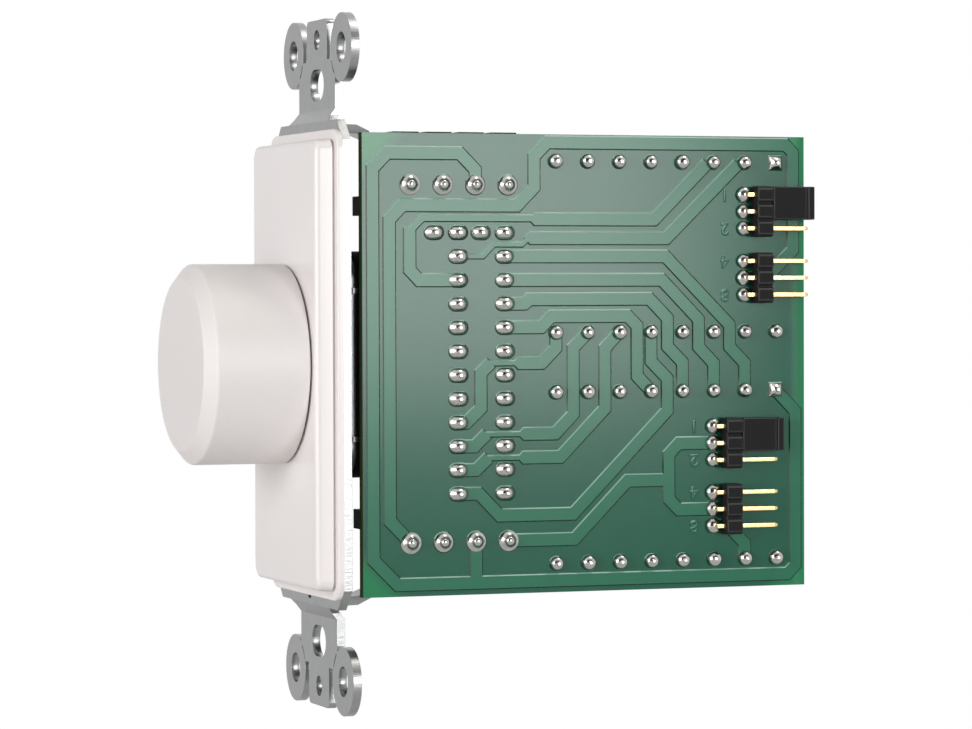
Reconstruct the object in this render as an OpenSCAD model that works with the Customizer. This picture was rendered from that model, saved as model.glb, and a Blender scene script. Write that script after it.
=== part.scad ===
// Wall volume control: a steel strap with a moulded insert and a round knob in front, and behind
// it a stepped rotary switch whose pins carry a circuit board that stands on edge. Two tapped
// transformers and two screw terminal blocks sit on the inner side of the board. Pin headers with
// push-on jumper shunts sit on its soldered side, which faces +X.
// The origin is the middle of the strap, on the plane of the wall. The knob points to -Y and Z is up.

/* [Strap] */
// Thickness of the sheet steel
strap_t = 1.3; // [1:0.1:1.6]
// Width of the flat middle
strap_w = 34; // [33:0.5:40]
// Height of the flat middle
strap_mid_h = 72; // [71:0.5:74]
// Length from tip to tip
strap_l = 102.8; // [102:0.2:110]
// How far the ends step back to the wall
strap_step = 1.4; // [1.3:0.1:2]
// Width of the necks between the middle and the ends
neck_w = 18; // [14:0.5:20]
// Height of the slope where the ends step back
step_h = 1.8; // [1.4:0.1:2.5]
// Size of the cut corners of the middle
shoulder_cut = 3; // [1:0.5:4]
// Spacing of the box screw slots, up and down
box_screw_pitch = 83.34; // [82.5:0.02:84]
// Length of a box screw slot
box_slot_l = 6.9; // [5.5:0.1:8]
// Width of a box screw slot
box_slot_w = 4.7; // [4:0.1:5]
// Spacing of the faceplate screw holes, up and down
plate_screw_pitch = 96.84; // [96:0.02:98]
// Diameter of a faceplate screw hole
plate_hole_d = 3; // [2.6:0.1:3.6]
// Diameter of a break-off ear
ear_d = 10.2; // [9:0.1:11]
// Diameter of the hole in an ear
ear_hole_d = 4.5; // [3:0.1:5.5]
// Spacing of the ears, side to side
ear_pitch_x = 23.9; // [22:0.1:26]
// Spacing of the ears, up and down
ear_pitch_z = 93.4; // [92:0.2:95]
// Width of the tongue between the ears
tongue_w = 10; // [8:0.2:11]
// Radius of the tongue's corners
tongue_r = 0.9; // [0.2:0.1:1.5]
// Distance from an ear's middle down to the bottom of the notch beside the tongue
notch_drop = 1.4; // [0.5:0.1:2.5]
// Length of the tabs that fold back from the shoulders
tab_l = 4; // [3:0.2:4.6]
// Width of a folded tab
tab_w = 5.4; // [3:0.2:6]
// Diameter of the small hole in the lower shoulder
shoulder_hole_d = 1.8; // [1:0.1:2.4]

/* [Insert] */
// Width of the flange
flange_w = 34.6; // [33.5:0.2:38]
// Height of the flange
flange_h = 69.1; // [68:0.1:71]
// Thickness of the flange
flange_t = 0.9; // [0.7:0.1:1.5]
// Radius of the flange's corners
flange_r = 3; // [0.5:0.5:4]
// Width of the raised block
block_w = 32.4; // [30:0.2:33]
// Height of the raised block
block_h = 66.2; // [62:0.2:66.6]
// How far the block stands out from the flange
block_proud = 3.05; // [2.6:0.05:4]
// Radius of the block's corners and front edges
block_r = 0.9; // [0.4:0.1:1.2]
// Wall of the moulding
insert_wall = 1.6; // [1.2:0.1:2]
// Width and depth of the groove that frames the block
groove = 0.35; // [0.1:0.05:0.6]
// Diameter of the hole for the switch's nut
insert_hole_d = 17; // [16:0.5:22]
// Diameter of the staked pegs
peg_d = 2.4; // [1.6:0.1:3]
// Spacing of the pegs, side to side
peg_pitch_x = 24; // [20:0.5:25]
// Spacing of the pegs, up and down
peg_pitch_z = 50; // [44:0.5:54]

/* [Knob] */
// Diameter of the knob
knob_d = 29.8; // [26:0.2:31]
// Length of the knob
knob_l = 15.7; // [14.6:0.1:18]
// Gap between the knob and the block
knob_gap = 0.3; // [0.2:0.05:1]
// Bevel of the knob's front, along its length
knob_bevel_l = 1.7; // [0.5:0.1:2.5]
// Bevel of the knob's front, across its face
knob_bevel_w = 2.1; // [0.5:0.1:3]
// Wall of the knob
knob_wall = 2; // [1.2:0.1:2.6]
// Diameter of the hub inside the knob
hub_d = 11; // [9.5:0.5:14]

/* [Shaft] */
// Diameter of the shaft
shaft_d = 6; // [5.6:0.1:6.4]
// Depth of the flat along the shaft
shaft_flat = 1.2; // [0.8:0.1:1.6]
// Outer diameter of the threaded bushing
bushing_d = 9.5; // [9:0.1:10]
// How far the bushing stands out from the strap
bushing_l = 6.3; // [5:0.1:7]
// Nut, across flats
nut_af = 12.7; // [12:0.1:13.5]
// Thickness of the nut
nut_t = 2; // [1.6:0.1:2.4]
// Diameter of the toothed washer
washer_d = 14; // [13:0.5:15]
// Thickness of the toothed washer
washer_t = 0.6; // [0.4:0.1:0.8]
// Running clearance of turning pieces, on the radius
run_clear = 0.06; // [0.02:0.01:0.1]

/* [Rotary switch] */
// Number of positions
steps = 12; // [12]
// Width of the switch's housing, across the board
housing_w = 29.6; // [28:0.2:29.6]
// Height of the switch's housing
housing_h = 33.4; // [31:0.2:35]
// Radius of the housing's corners
housing_r = 4; // [1:0.5:6]
// Depth of the wide part of the housing
housing_l = 5.8; // [5.6:0.1:7]
// Thickness of the steel front plate
front_plate_t = 1.4; // [1:0.1:1.6]
// Thickness of a leg
leg_t = 0.75; // [0.5:0.05:1]
// Width of a leg
leg_w = 2; // [1.4:0.1:2.2]
// Diameter of the wafers
wafer_d = 30; // [28:0.2:30]
// Diameter of the rotors
rotor_d = 20; // [18:0.2:21]
// Length of a detent spring
spring_l = 1.8; // [1.4:0.1:2.4]
// Diameter of a detent ball
ball_d = 2.4; // [2:0.1:2.6]
// Spacing of the pins in a row
switch_pitch = 3.5; // [3.2:0.02:3.6]
// Distance from the strap's wall plane to the first row of pins
switch_row_y = 14.97; // [14.5:0.05:15.5]
// Spacing of the two rows, which is also the depth of a wafer
wafer_l = 7.31; // [7:0.05:7.5]
// Distance of the common pin in front of its row
common_offset = 3.75; // [3.3:0.05:4]
// Diameter of the switch's pins
switch_pin_d = 0.9; // [0.6:0.05:1]

/* [Circuit board] */
// Distance from the knob's axis to the soldered side
board_face = 17.3; // [17:0.1:18.5]
// Thickness of the board
board_t = 1.6; // [1.2:0.1:1.6]
// Length of the board, front to back
board_l = 70.5; // [69.5:0.1:75]
// Height of the board
board_h = 68; // [67:0.1:70]
// Distance from the wall plane to the board's front edge
board_front = 0.15; // [0.05:0.05:0.6]
// Height of the pin grid's middle above the strap's middle
grid_z = 0.15; // [0:0.05:0.3]
// Thickness of the tracks
copper_t = 0.14; // [0.05:0.01:0.2]
// Width of the tracks
track_w = 2.1; // [1.4:0.1:2.2]
// Width of the tracks that pass between two pads
track_narrow_w = 0.95; // [0.5:0.05:1]
// Width of the track that passes beside the top lane
track_middle_w = 1.25; // [1:0.05:1.35]
// Diameter of the larger pads
pad_large_d = 3.2; // [2.8:0.1:3.6]
// Diameter of the smaller pads
pad_small_d = 2.3; // [1.9:0.1:2.4]
// Height of a solder joint
solder_h = 1.1; // [0.8:0.05:1.4]
// Clearance of a lead in its hole, on the radius
lead_clear = 0.12; // [0.05:0.01:0.2]

/* [Jumpers] */
// Spacing of the header pins
header_pitch = 2.54; // [2.5:0.02:2.56]
// Side of the square header pins
header_pin = 0.64; // [0.5:0.02:0.7]
// Height of the header pins above the board
header_rise = 1.5; // [1.4:0.05:1.8]
// Distance from a header's pads to its moulding
header_setback = 0.95; // [0.8:0.05:1.4]
// Free length of the header pins
header_free_l = 6.1; // [5.8:0.1:6.4]
// Distance from the wall plane to the upper headers' pads
upper_header_y = 61; // [60.4:0.1:61.4]
// Distance from the wall plane to the lower headers' pads
lower_header_y = 55.9; // [55:0.1:56.4]
// Length of a jumper shunt
shunt_l = 6.75; // [6.5:0.05:8]
// Width of a jumper shunt
shunt_w = 5; // [4.8:0.05:5.05]
// Thickness of a jumper shunt
shunt_t = 2.4; // [2.2:0.05:2.6]

/* [Transformers] */
// Spacing of the pins along a row
core_pin_pitch = 5.08; // [5:0.01:5.08]
// Pins in a row
core_pins = 8; // [8]
// Spacing of the two rows of one transformer
core_row_pitch = 25.45; // [25.2:0.05:25.6]
// Gap between the rows of the two transformers
core_row_gap = 8.86; // [8.6:0.02:9]
// Distance from the wall plane to the first pin
core_pin_y = 30.3; // [30:0.1:30.8]
// Width of the laminated core, along the board
core_w = 38.4; // [37:0.2:39]
// Height of the laminated core
core_h = 32; // [31:0.2:32.6]
// Thickness of the stack of laminations
core_stack = 14; // [12:0.5:16]
// Width of the core's middle leg
core_leg = 12.8; // [11:0.2:13]
// Wall of the bobbin
bobbin_wall = 0.9; // [0.7:0.1:1.2]
// Gap between the tape and the core's outer leg
winding_gap = 0.4; // [0.3:0.05:1]
// Thickness of the tape round the winding
tape_t = 0.3; // [0.2:0.05:0.4]
// Gap between the tape and the board
core_board_gap = 0.8; // [0.4:0.1:2]
// Diameter of the transformer's pins
core_pin_d = 0.8; // [0.6:0.05:1]

/* [Terminal blocks] */
// Spacing of the poles
pole_pitch = 5.08; // [5.08:0.01:5.2]
// Poles in a block
poles = 4; // [4]
// Distance from the wall plane to the first leg
pole_y = 7.5; // [7:0.1:8]
// Height of the legs above the grid's middle
pole_z = 26.3; // [26:0.05:26.6]
// Height of a block above the board
terminal_h = 12.4; // [12:0.1:13]
// Reach of a block from its legs to its wire side
terminal_reach = 7.8; // [7.3:0.05:8.5]
// Depth of a block behind its legs
terminal_back = 4.4; // [3.5:0.1:4.6]
// Diameter of a clamping screw
clamp_screw_d = 2.5; // [2.2:0.1:3]
// Diameter of a clamping screw's head
clamp_head_d = 3.8; // [3.4:0.1:4]
// Travel of a clamp
clamp_travel = 2.25; // [1.5:0.05:2.4]
// Diameter of a wire opening
wire_d = 3.2; // [2.4:0.1:3.4]

/* [Hidden] */
$fn = 48;

// Extra length of a cutting shape past the face that it cuts
over = 0.5;
// Play of pieces that seat in each other and stay there
seat_clear = 0.02;

// Planes of the strap and the insert, along Y
wall_y = 0;
ear_front_y = wall_y - strap_t;
mid_rear_y = wall_y - strap_step;
mid_front_y = mid_rear_y - strap_t;
flange_front_y = mid_front_y - flange_t;
block_front_y = flange_front_y - block_proud;
// Where the slope to the strap's ends begins and finishes
slope_z0 = strap_mid_h / 2;
slope_z1 = slope_z0 + step_h;
strap_tip_z = strap_l / 2;
notch_z = ear_pitch_z / 2 - notch_drop;
// The folded tabs lie below the shoulder's edge
tab_z1 = strap_mid_h / 2 - shoulder_cut / 4;
tab_x = strap_w / 2 - shoulder_cut + shoulder_cut / 4;
tab_taper = tab_w / 4;
// Past its fold a tab runs straight, then bends in towards the middle
tab_straight = 1.75;
tab_bend = 0.9;
// The inner corners where the necks meet the middle
neck_fillet = 0.8;
// The score round an ear, along which it breaks off
score_w = 0.3;
score_t = 0.3;
shoulder_hole_edge = 0.8;
shoulder_hole_z = strap_mid_h / 2 - shoulder_hole_d / 2 - shoulder_hole_edge;
peg_head_out = 0.8;
peg_head_d = peg_d + 2 * peg_head_out;
peg_head_t = 0.9;
peg_boss_wall = 1.3;
peg_boss_d = peg_d + 2 * peg_boss_wall;

// Knob, shaft and bushing, along Y
knob_base_y = block_front_y - knob_gap;
knob_face_y = knob_base_y - knob_l;
knob_inner_y = knob_face_y + knob_wall;
bushing_tip_y = mid_front_y - bushing_l;
ring_t = 0.6;
ring_out = 1.5;
ring_d = shaft_d + 2 * ring_out;
ring_groove = 0.5;
ring_y = bushing_tip_y - ring_t - run_clear;
shaft_collar = 0.2;
hub_end_y = ring_y - 2 * shaft_collar;
shaft_tip_gap = 0.4;
shaft_tip_y = knob_inner_y + shaft_tip_gap;
clip_t = 0.4;
clip_w = 3.6;
clip_l = 7;
bushing_step = 0.75;
bushing_spigot_d = bushing_d - 2 * bushing_step;

// Stack of the rotary switch, along Y
plate_rear_y = mid_rear_y + front_plate_t;
wafer_front_margin = 1.2;
wafer_y = switch_row_y - common_offset - wafer_front_margin;
rear_plate_y = wafer_y + 2 * wafer_l;
rear_plate_t = 1.2;
leg_tip = 0.8;
// The legs pass between two pins of a row
leg_shift = 0.4;
leg_pitch_z = 2 * (3 * switch_pitch + leg_shift);
rear_plate_margin = 2.5;
rear_plate_h = leg_pitch_z + 2 * rear_plate_margin;
shaft_end_y = rear_plate_y + rear_plate_t + leg_tip;
leg_proud = 0.2;
leg_x1 = housing_w / 2 + leg_proud;
leg_x0 = leg_x1 - leg_w;
leg_room = 0.15;
plate_inset = 0.3;
housing_lip_r = 1.2;
housing_neck_step = 1;
housing_neck_d = wafer_d - 2 * housing_neck_step;
housing_floor_t = 0.8;
wheel_room = 0.5;
wheel_front_gap = 1;
wheel_rear_gap = 0.6;
wheel_y0 = plate_rear_y + wheel_front_gap;
wheel_t = housing_l - housing_floor_t - wheel_front_gap - wheel_rear_gap;
wheel_y1 = wheel_y0 + wheel_t;
wheel_mid_y = (wheel_y0 + wheel_y1) / 2;
floor_y = plate_rear_y + housing_l - housing_floor_t;
detent_scallop_d = 3.2;
detent_depth = 0.5;
// Spring, ball and wheel stand in line from the housing's wall inwards
ball_gap = 0.1;
spring_wire = 0.4;
spring_skin = 0.4;
spring_r1 = housing_h / 2 - spring_skin;
spring_r0 = spring_r1 - spring_l;
ball_r0 = spring_r0 - ball_d;
wheel_d = 2 * (ball_r0 - ball_gap);
// The stop in the housing and the lug on the wheel that runs up against it, as half angles
stop_inset = 1;
stop_band = 2.5;
stop_r0 = rotor_d / 2 - stop_inset;
stop_r1 = stop_r0 + stop_band;
stop_half = 6;
lug_half = 8;
lug_gap = 1;
lug_turn = stop_half + lug_half + lug_gap;
lug_t = 0.5;
lug_clear = 0.1;
rotor_inset = 1.15;
rotor_l = wafer_l - 2 * rotor_inset;
contact_w = 1.8;
contact_l = 2;
contact_t = 1.5;
wiper_l = 1.2;
wiper_w = 1.6;
wiper_t = 1.4;

// Circuit board planes and pin places
board_x1 = board_face;
board_x0 = board_face - board_t;
board_y0 = board_front;
board_y1 = board_front + board_l;
copper_x1 = board_x1 + copper_t;
switch_foot_gap = 0.6;
foot_x1 = board_x0 - switch_foot_gap;
foot_x0 = wafer_d / 4;
foot_margin = 1.3;
foot_h = switch_pitch * (steps - 1) + 2 * foot_margin;
pin_seat = 2.5;
leg_pin = 0.8;
core_length = core_pin_pitch * (core_pins - 1);
core_y = core_pin_y + core_length / 2;
core_z = (core_row_gap + core_row_pitch) / 2;
core_rows = [
    core_row_gap / 2 + core_row_pitch, core_row_gap / 2,
    -core_row_gap / 2, -core_row_gap / 2 - core_row_pitch
];
header_y = [upper_header_y, upper_header_y, lower_header_y, lower_header_y];
// Heights of the top pins of the four headers
header_z = [25.2, 15.2, -9.65, -19.6];
header_pins_each = 3;
shunt_headers = [0, 2];

// A row and place of each kind of pin, as [Y, Z] on the board
function core_pad(row, k) = [core_pin_y + core_pin_pitch * k, grid_z + core_rows[row]];
function switch_pad(row, k) =
    [switch_row_y + wafer_l * row, grid_z + switch_pitch * ((steps - 1) / 2 - k)];
function common_pad(row) = switch_pad(row, 0) - [common_offset, 0];
function pole_pad(block, k) = [pole_y + pole_pitch * k, grid_z + (block == 0 ? pole_z : -pole_z)];
function header_pad(h, k) = [header_y[h], header_z[h] - header_pitch * k];

core_pads = [for (row = [0:3], k = [0:core_pins - 1]) core_pad(row, k)];
switch_pads = [for (row = [0:1], k = [0:steps - 1]) switch_pad(row, k)];
common_pads = [for (row = [0:1]) common_pad(row)];
pole_pads = [for (block = [0:1], k = [0:poles - 1]) pole_pad(block, k)];
header_pads = [for (h = [0:3], k = [0:header_pins_each - 1]) header_pad(h, k)];
// The first pin of each transformer has a square pad
square_pads = [core_pad(0, core_pins - 1), core_pad(2, core_pins - 1)];

// Helpers that draw an outline and carry it along one axis
module along_y(y0, y1) {
    translate([0, y1, 0]) rotate([90, 0, 0]) linear_extrude(y1 - y0) children();
}

module along_x(x0, x1) {
    translate([x0, 0, 0]) rotate([90, 0, 90]) linear_extrude(x1 - x0) children();
}

module about_y() {
    rotate([-90, 0, 0]) rotate_extrude() children();
}

module rod_y(d, y0, y1) {
    translate([0, y0, 0]) rotate([-90, 0, 0]) cylinder(d = d, h = y1 - y0);
}

module rod_x(d, x0, x1) {
    translate([x0, 0, 0]) rotate([0, 90, 0]) cylinder(d = d, h = x1 - x0);
}

module box(low, high) {
    translate(low) cube(high - low);
}

module rounded_rect(w, h, r) {
    square([w - 2 * r, h], center = true);
    square([w, h - 2 * r], center = true);
    for (x = [-1, 1], y = [-1, 1]) translate([x * (w / 2 - r), y * (h / 2 - r)]) circle(r = r);
}

module slot_outline(l, w) {
    square([l - w, w], center = true);
    for (s = [-1, 1]) translate([s * (l - w) / 2, 0]) circle(d = w);
}

module both_ends() {
    for (s = [0, 1]) mirror([0, 0, s]) children();
}

module four_ways() {
    for (sx = [0, 1], sz = [0, 1]) mirror([sx, 0, 0]) mirror([0, 0, sz]) children();
}

// Strap
module strap_end_outline() {
    polygon([
        [-neck_w / 2 - neck_fillet, slope_z0], [-neck_w / 2, slope_z0 + neck_fillet], [-neck_w / 2, notch_z],
        [neck_w / 2, notch_z], [neck_w / 2, slope_z0 + neck_fillet], [neck_w / 2 + neck_fillet, slope_z0]
    ]);
    hull() {
        translate([-tongue_w / 2, notch_z - over]) square([tongue_w, over]);
        for (s = [-1, 1]) translate([s * (tongue_w / 2 - tongue_r), strap_tip_z - tongue_r]) circle(r = tongue_r);
    }
    for (s = [-1, 1]) translate([s * ear_pitch_x / 2, ear_pitch_z / 2]) circle(d = ear_d);
}

module strap_outline() {
    half_w = strap_w / 2;
    half_h = strap_mid_h / 2;
    cut = shoulder_cut;
    polygon([
        [half_w - cut, half_h], [half_w, half_h - cut], [half_w, cut - half_h], [half_w - cut, -half_h],
        [cut - half_w, -half_h], [-half_w, cut - half_h], [-half_w, half_h - cut], [cut - half_w, half_h]
    ]);
    for (s = [0, 1]) mirror([0, s]) strap_end_outline();
}

module strap_side_outline() {
    end_z = max(strap_tip_z, (ear_pitch_z + ear_d) / 2) + over;
    front = [
        [mid_front_y, slope_z0], [ear_front_y, slope_z1], [ear_front_y, end_z],
        [wall_y, end_z], [wall_y, slope_z1], [mid_rear_y, slope_z0]
    ];
    count = len(front);
    polygon([
        for (p = front) p,
        for (k = [count - 1:-1:0]) [front[k][0], -front[k][1]]
    ]);
}

module strap_tab() {
    end_y = mid_rear_y + tab_l;
    bend_y = mid_rear_y + tab_straight;
    bent_z = tab_z1 - tab_bend;
    intersection() {
        translate([0, 0, bent_z - 2 * strap_t]) linear_extrude(3 * strap_t + tab_bend) polygon([
            [tab_x - tab_w, mid_rear_y - over], [tab_x, mid_rear_y - over], [tab_x, mid_rear_y],
            [tab_x - tab_taper, end_y], [tab_x - tab_w, end_y]
        ]);
        along_x(tab_x - tab_w - over, tab_x + over) polygon([
            [mid_rear_y - over, tab_z1], [bend_y, tab_z1], [end_y, bent_z], [end_y, bent_z - strap_t],
            [bend_y, tab_z1 - strap_t], [mid_rear_y - over, tab_z1 - strap_t]
        ]);
    }
}

// The arc of an ear's edge that lies on the neck, cut into the front face and stopped short of the edges
module ear_score() {
    intersection() {
        box([tongue_w / 2, ear_front_y - over, slope_z1],
            [neck_w / 2 - score_w, ear_front_y + score_t, notch_z - score_w]);
        translate([ear_pitch_x / 2, 0, ear_pitch_z / 2]) along_y(ear_front_y - over, wall_y) difference() {
            circle(d = ear_d);
            circle(d = ear_d - 2 * score_w);
        }
    }
}

module mounting_strap() {
    color("silver") {
        difference() {
            intersection() {
                along_y(mid_front_y, wall_y) strap_outline();
                along_x(-strap_w, strap_w) strap_side_outline();
            }
            rod_y(bushing_d + 2 * run_clear, mid_front_y - over, wall_y + over);
            both_ends() {
                translate([0, 0, box_screw_pitch / 2])
                    along_y(mid_front_y - over, wall_y + over) slot_outline(box_slot_l, box_slot_w);
                translate([0, 0, plate_screw_pitch / 2])
                    rod_y(plate_hole_d, mid_front_y - over, wall_y + over);
            }
            translate([0, 0, -shoulder_hole_z]) rod_y(shoulder_hole_d, mid_front_y - over, wall_y + over);
            four_ways() {
                ear_score();
                translate([ear_pitch_x / 2, 0, ear_pitch_z / 2])
                    rod_y(ear_hole_d, mid_front_y - over, wall_y + over);
                translate([peg_pitch_x / 2, 0, peg_pitch_z / 2])
                    rod_y(peg_d + 2 * seat_clear, mid_front_y - over, wall_y + over);
            }
        }
        four_ways() strap_tab();
    }
}

// Insert
module block_layer(inset, y0) {
    along_y(y0, flange_front_y)
        rounded_rect(block_w - 2 * inset, block_h - 2 * inset, block_r);
}

module front_insert() {
    color("whitesmoke") {
        difference() {
            union() {
                along_y(flange_front_y, mid_front_y) rounded_rect(flange_w, flange_h, flange_r);
                hull() for (a = [0, 30, 60, 90])
                    block_layer(block_r * (1 - cos(a)), block_front_y + block_r * (1 - sin(a)));
            }
            along_y(block_front_y + insert_wall, mid_front_y + over)
                rounded_rect(block_w - 2 * insert_wall, block_h - 2 * insert_wall, block_r);
            along_y(flange_front_y - groove, flange_front_y) difference() {
                square([flange_w + over, flange_h + over], center = true);
                rounded_rect(block_w - 2 * groove, block_h - 2 * groove, block_r);
            }
            rod_y(insert_hole_d, block_front_y - over, mid_front_y + over);
        }
        four_ways() translate([peg_pitch_x / 2, 0, peg_pitch_z / 2]) {
            rod_y(peg_boss_d, block_front_y + insert_wall - seat_clear, mid_front_y);
            rod_y(peg_d, mid_front_y - seat_clear, mid_rear_y + peg_head_t);
            rod_y(peg_head_d, mid_rear_y, mid_rear_y + peg_head_t);
        }
    }
}

// Knob and shaft
// Section of the shaft, or of a hole for it, with the flat towards +Z
module shaft_outline(clear) {
    difference() {
        circle(d = shaft_d + 2 * clear);
        translate([-shaft_d, shaft_d / 2 - shaft_flat + clear]) square([2 * shaft_d, shaft_d]);
    }
}

module knob() {
    color("whitesmoke") difference() {
        about_y() polygon([
            [0, knob_face_y], [knob_d / 2 - knob_bevel_w, knob_face_y],
            [knob_d / 2, knob_face_y + knob_bevel_l], [knob_d / 2, knob_base_y],
            [knob_d / 2 - knob_wall, knob_base_y], [knob_d / 2 - knob_wall - knob_bevel_w, knob_inner_y],
            [hub_d / 2, knob_inner_y], [hub_d / 2, hub_end_y], [0, hub_end_y]
        ]);
        along_y(shaft_tip_y - seat_clear, hub_end_y + over) shaft_outline(seat_clear);
        translate([0, 0, shaft_d / 2 - shaft_flat]) box(
            [-clip_w / 2 - seat_clear, hub_end_y - clip_l - seat_clear, -seat_clear],
            [clip_w / 2 + seat_clear, hub_end_y + over, clip_t + 2 * seat_clear]
        );
    }
}

module knob_clip() {
    color("lightsteelblue") translate([0, 0, shaft_d / 2 - shaft_flat + seat_clear])
        box([-clip_w / 2, hub_end_y - clip_l, 0], [clip_w / 2, hub_end_y, clip_t]);
}

module shaft() {
    flat_z = shaft_d / 2 - shaft_flat;
    color("lightgray") difference() {
        union() {
            rod_y(shaft_d, shaft_tip_y, ring_y);
            rod_y(shaft_d - 2 * ring_groove, ring_y, ring_y + ring_t);
            rod_y(shaft_d, ring_y + ring_t, shaft_end_y);
        }
        box([-shaft_d, shaft_tip_y - over, flat_z], [shaft_d, ring_y - shaft_collar, shaft_d]);
        box([-shaft_d, wheel_y0, flat_z], [shaft_d, shaft_end_y + over, shaft_d]);
    }
}

module shaft_ring() {
    mouth = shaft_d / 2;
    color("dimgray") along_y(ring_y + seat_clear, ring_y + ring_t - seat_clear) difference() {
        circle(d = ring_d);
        circle(d = shaft_d - 2 * ring_groove + 2 * seat_clear);
        translate([-mouth / 2, 0]) square([mouth, ring_d]);
    }
}

// Rotary switch
module switch_bushing() {
    color("gainsboro") difference() {
        union() {
            rod_y(bushing_d, bushing_tip_y, mid_rear_y);
            rod_y(bushing_spigot_d, mid_rear_y - over, plate_rear_y);
        }
        rod_y(shaft_d + 2 * run_clear, bushing_tip_y - over, plate_rear_y + over);
    }
}

module bushing_nut() {
    nut_y1 = mid_front_y - washer_t;
    color("silver") along_y(nut_y1 - nut_t, nut_y1) difference() {
        circle(d = nut_af / cos(30), $fn = 6);
        circle(d = bushing_d + 2 * seat_clear);
    }
}

module lock_washer() {
    teeth = 12;
    tooth = 1.2;
    color("darkgray") along_y(mid_front_y - washer_t, mid_front_y) difference() {
        circle(d = washer_d);
        circle(d = bushing_d + 2 * seat_clear);
        for (k = [0:teeth - 1]) rotate(360 / teeth * k)
            translate([washer_d / 2, 0]) rotate(45) square(tooth, center = true);
    }
}

module switch_leg(grow, y1) {
    box(
        [leg_x0 - grow, plate_rear_y - over, leg_pitch_z / 2 - leg_t / 2 - grow],
        [leg_x1 + grow, y1, leg_pitch_z / 2 + leg_t / 2 + grow]
    );
}

module switch_front_plate() {
    color("silver") {
        difference() {
            along_y(mid_rear_y, plate_rear_y) rounded_rect(
                housing_w - 2 * plate_inset, housing_h - 2 * plate_inset, housing_r);
            rod_y(bushing_spigot_d + 2 * seat_clear, mid_rear_y - over, plate_rear_y + over);
        }
        four_ways() intersection() {
            switch_leg(0, rear_plate_y + rear_plate_t + leg_tip);
            box([0, mid_rear_y, 0], [leg_x1, shaft_end_y, housing_h]);
        }
    }
}

module stop_sector(half, turn, y0, y1) {
    reach = stop_r1 * 2;
    along_y(y0, y1) intersection() {
        difference() {
            circle(r = stop_r1);
            circle(r = stop_r0);
        }
        rotate(turn - 90) polygon([
            [0, 0], [reach * cos(half), -reach * sin(half)], [reach * cos(half), reach * sin(half)]
        ]);
    }
}

module detent_housing() {
    color("dimgray") {
        difference() {
            union() {
                along_y(plate_rear_y, plate_rear_y + housing_l - housing_lip_r)
                    rounded_rect(housing_w, housing_h, housing_r);
                along_y(plate_rear_y, plate_rear_y + housing_l) rounded_rect(
                    housing_w - 2 * housing_lip_r, housing_h - 2 * housing_lip_r,
                    housing_r - housing_lip_r / 2);
                rod_y(housing_neck_d, plate_rear_y, wafer_y);
            }
            rod_y(wheel_d + 2 * wheel_room, plate_rear_y - over, floor_y);
            rod_y(rotor_d, plate_rear_y + housing_l, wafer_y + over);
            rod_y(shaft_d + 2 * run_clear, floor_y - over, wafer_y + over);
            both_ends() translate([0, wheel_mid_y, wheel_d / 2 - over])
                cylinder(d = ball_d + 2 * run_clear, h = spring_r1 - wheel_d / 2 + over);
            four_ways() switch_leg(seat_clear, wafer_y + over);
        }
        stop_sector(stop_half, 0, floor_y - lug_t, floor_y + seat_clear);
    }
}

module detent_wheel() {
    scallop_r = wheel_d / 2 + detent_scallop_d / 2 - detent_depth;
    color("ivory") {
        along_y(wheel_y0, wheel_y1) difference() {
            circle(d = wheel_d);
            for (k = [0:steps - 1]) rotate(360 / steps * k + 90)
                translate([scallop_r, 0]) circle(d = detent_scallop_d);
            shaft_outline(seat_clear);
        }
        stop_sector(lug_half, -lug_turn, wheel_y1 - seat_clear, floor_y - lug_clear);
    }
}

module detent_balls() {
    color("gainsboro") both_ends() translate([0, wheel_mid_y, ball_r0 + ball_d / 2]) sphere(d = ball_d);
}

module detent_springs() {
    color("darkgray") both_ends() translate([0, wheel_mid_y, spring_r0]) difference() {
        cylinder(d = ball_d - spring_wire, h = spring_l);
        translate([0, 0, -over]) cylinder(d = ball_d - 3 * spring_wire, h = spring_l + 2 * over);
    }
}

// One wafer of the switch, with its foot towards the board
module wafer(row) {
    y0 = wafer_y + wafer_l * row;
    y1 = y0 + wafer_l;
    pads = concat([for (k = [0:steps - 1]) switch_pad(row, k)], [common_pad(row)]);
    difference() {
        union() {
            rod_y(wafer_d, y0, y1);
            box([foot_x0, y0, grid_z - foot_h / 2], [foot_x1, y1, grid_z + foot_h / 2]);
        }
        rod_y(rotor_d + 2 * run_clear, y0 - over, y1 + over);
        four_ways() switch_leg(leg_room, y1 + over);
        for (p = pads) translate([0, p[0], p[1]])
            rod_x(switch_pin_d + 2 * seat_clear, foot_x1 - pin_seat, foot_x1 + over);
        for (k = [0:steps - 1]) contact_block(row, k, seat_clear);
    }
}

module front_wafer() {
    color("saddlebrown") wafer(0);
}

module rear_wafer() {
    color("saddlebrown") wafer(1);
}

// A contact set into the wall of a wafer's bore
module contact_block(row, k, grow) {
    y_mid = wafer_y + wafer_l * (row + 0.5);
    r0 = rotor_d / 2 + run_clear;
    rotate([0, 360 / steps * k, 0]) box(
        [r0 - (grow > 0 ? over : 0), y_mid - contact_l / 2 - grow, -contact_w / 2 - grow],
        [r0 + contact_t + grow, y_mid + contact_l / 2 + grow, contact_w / 2 + grow]
    );
}

module fixed_contacts() {
    color("gold") for (row = [0:1], k = [0:steps - 1]) difference() {
        contact_block(row, k, 0);
        rod_y(rotor_d + 2 * run_clear, wafer_y, rear_plate_y);
    }
}

module wiper_block(row, grow) {
    y_mid = wafer_y + wafer_l * (row + 0.5);
    box(
        [rotor_d / 2 - wiper_t - grow, y_mid - wiper_l / 2 - grow, -wiper_w / 2 - grow],
        [rotor_d / 2 + (grow > 0 ? over : 0), y_mid + wiper_l / 2 + grow, wiper_w / 2 + grow]
    );
}

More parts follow.
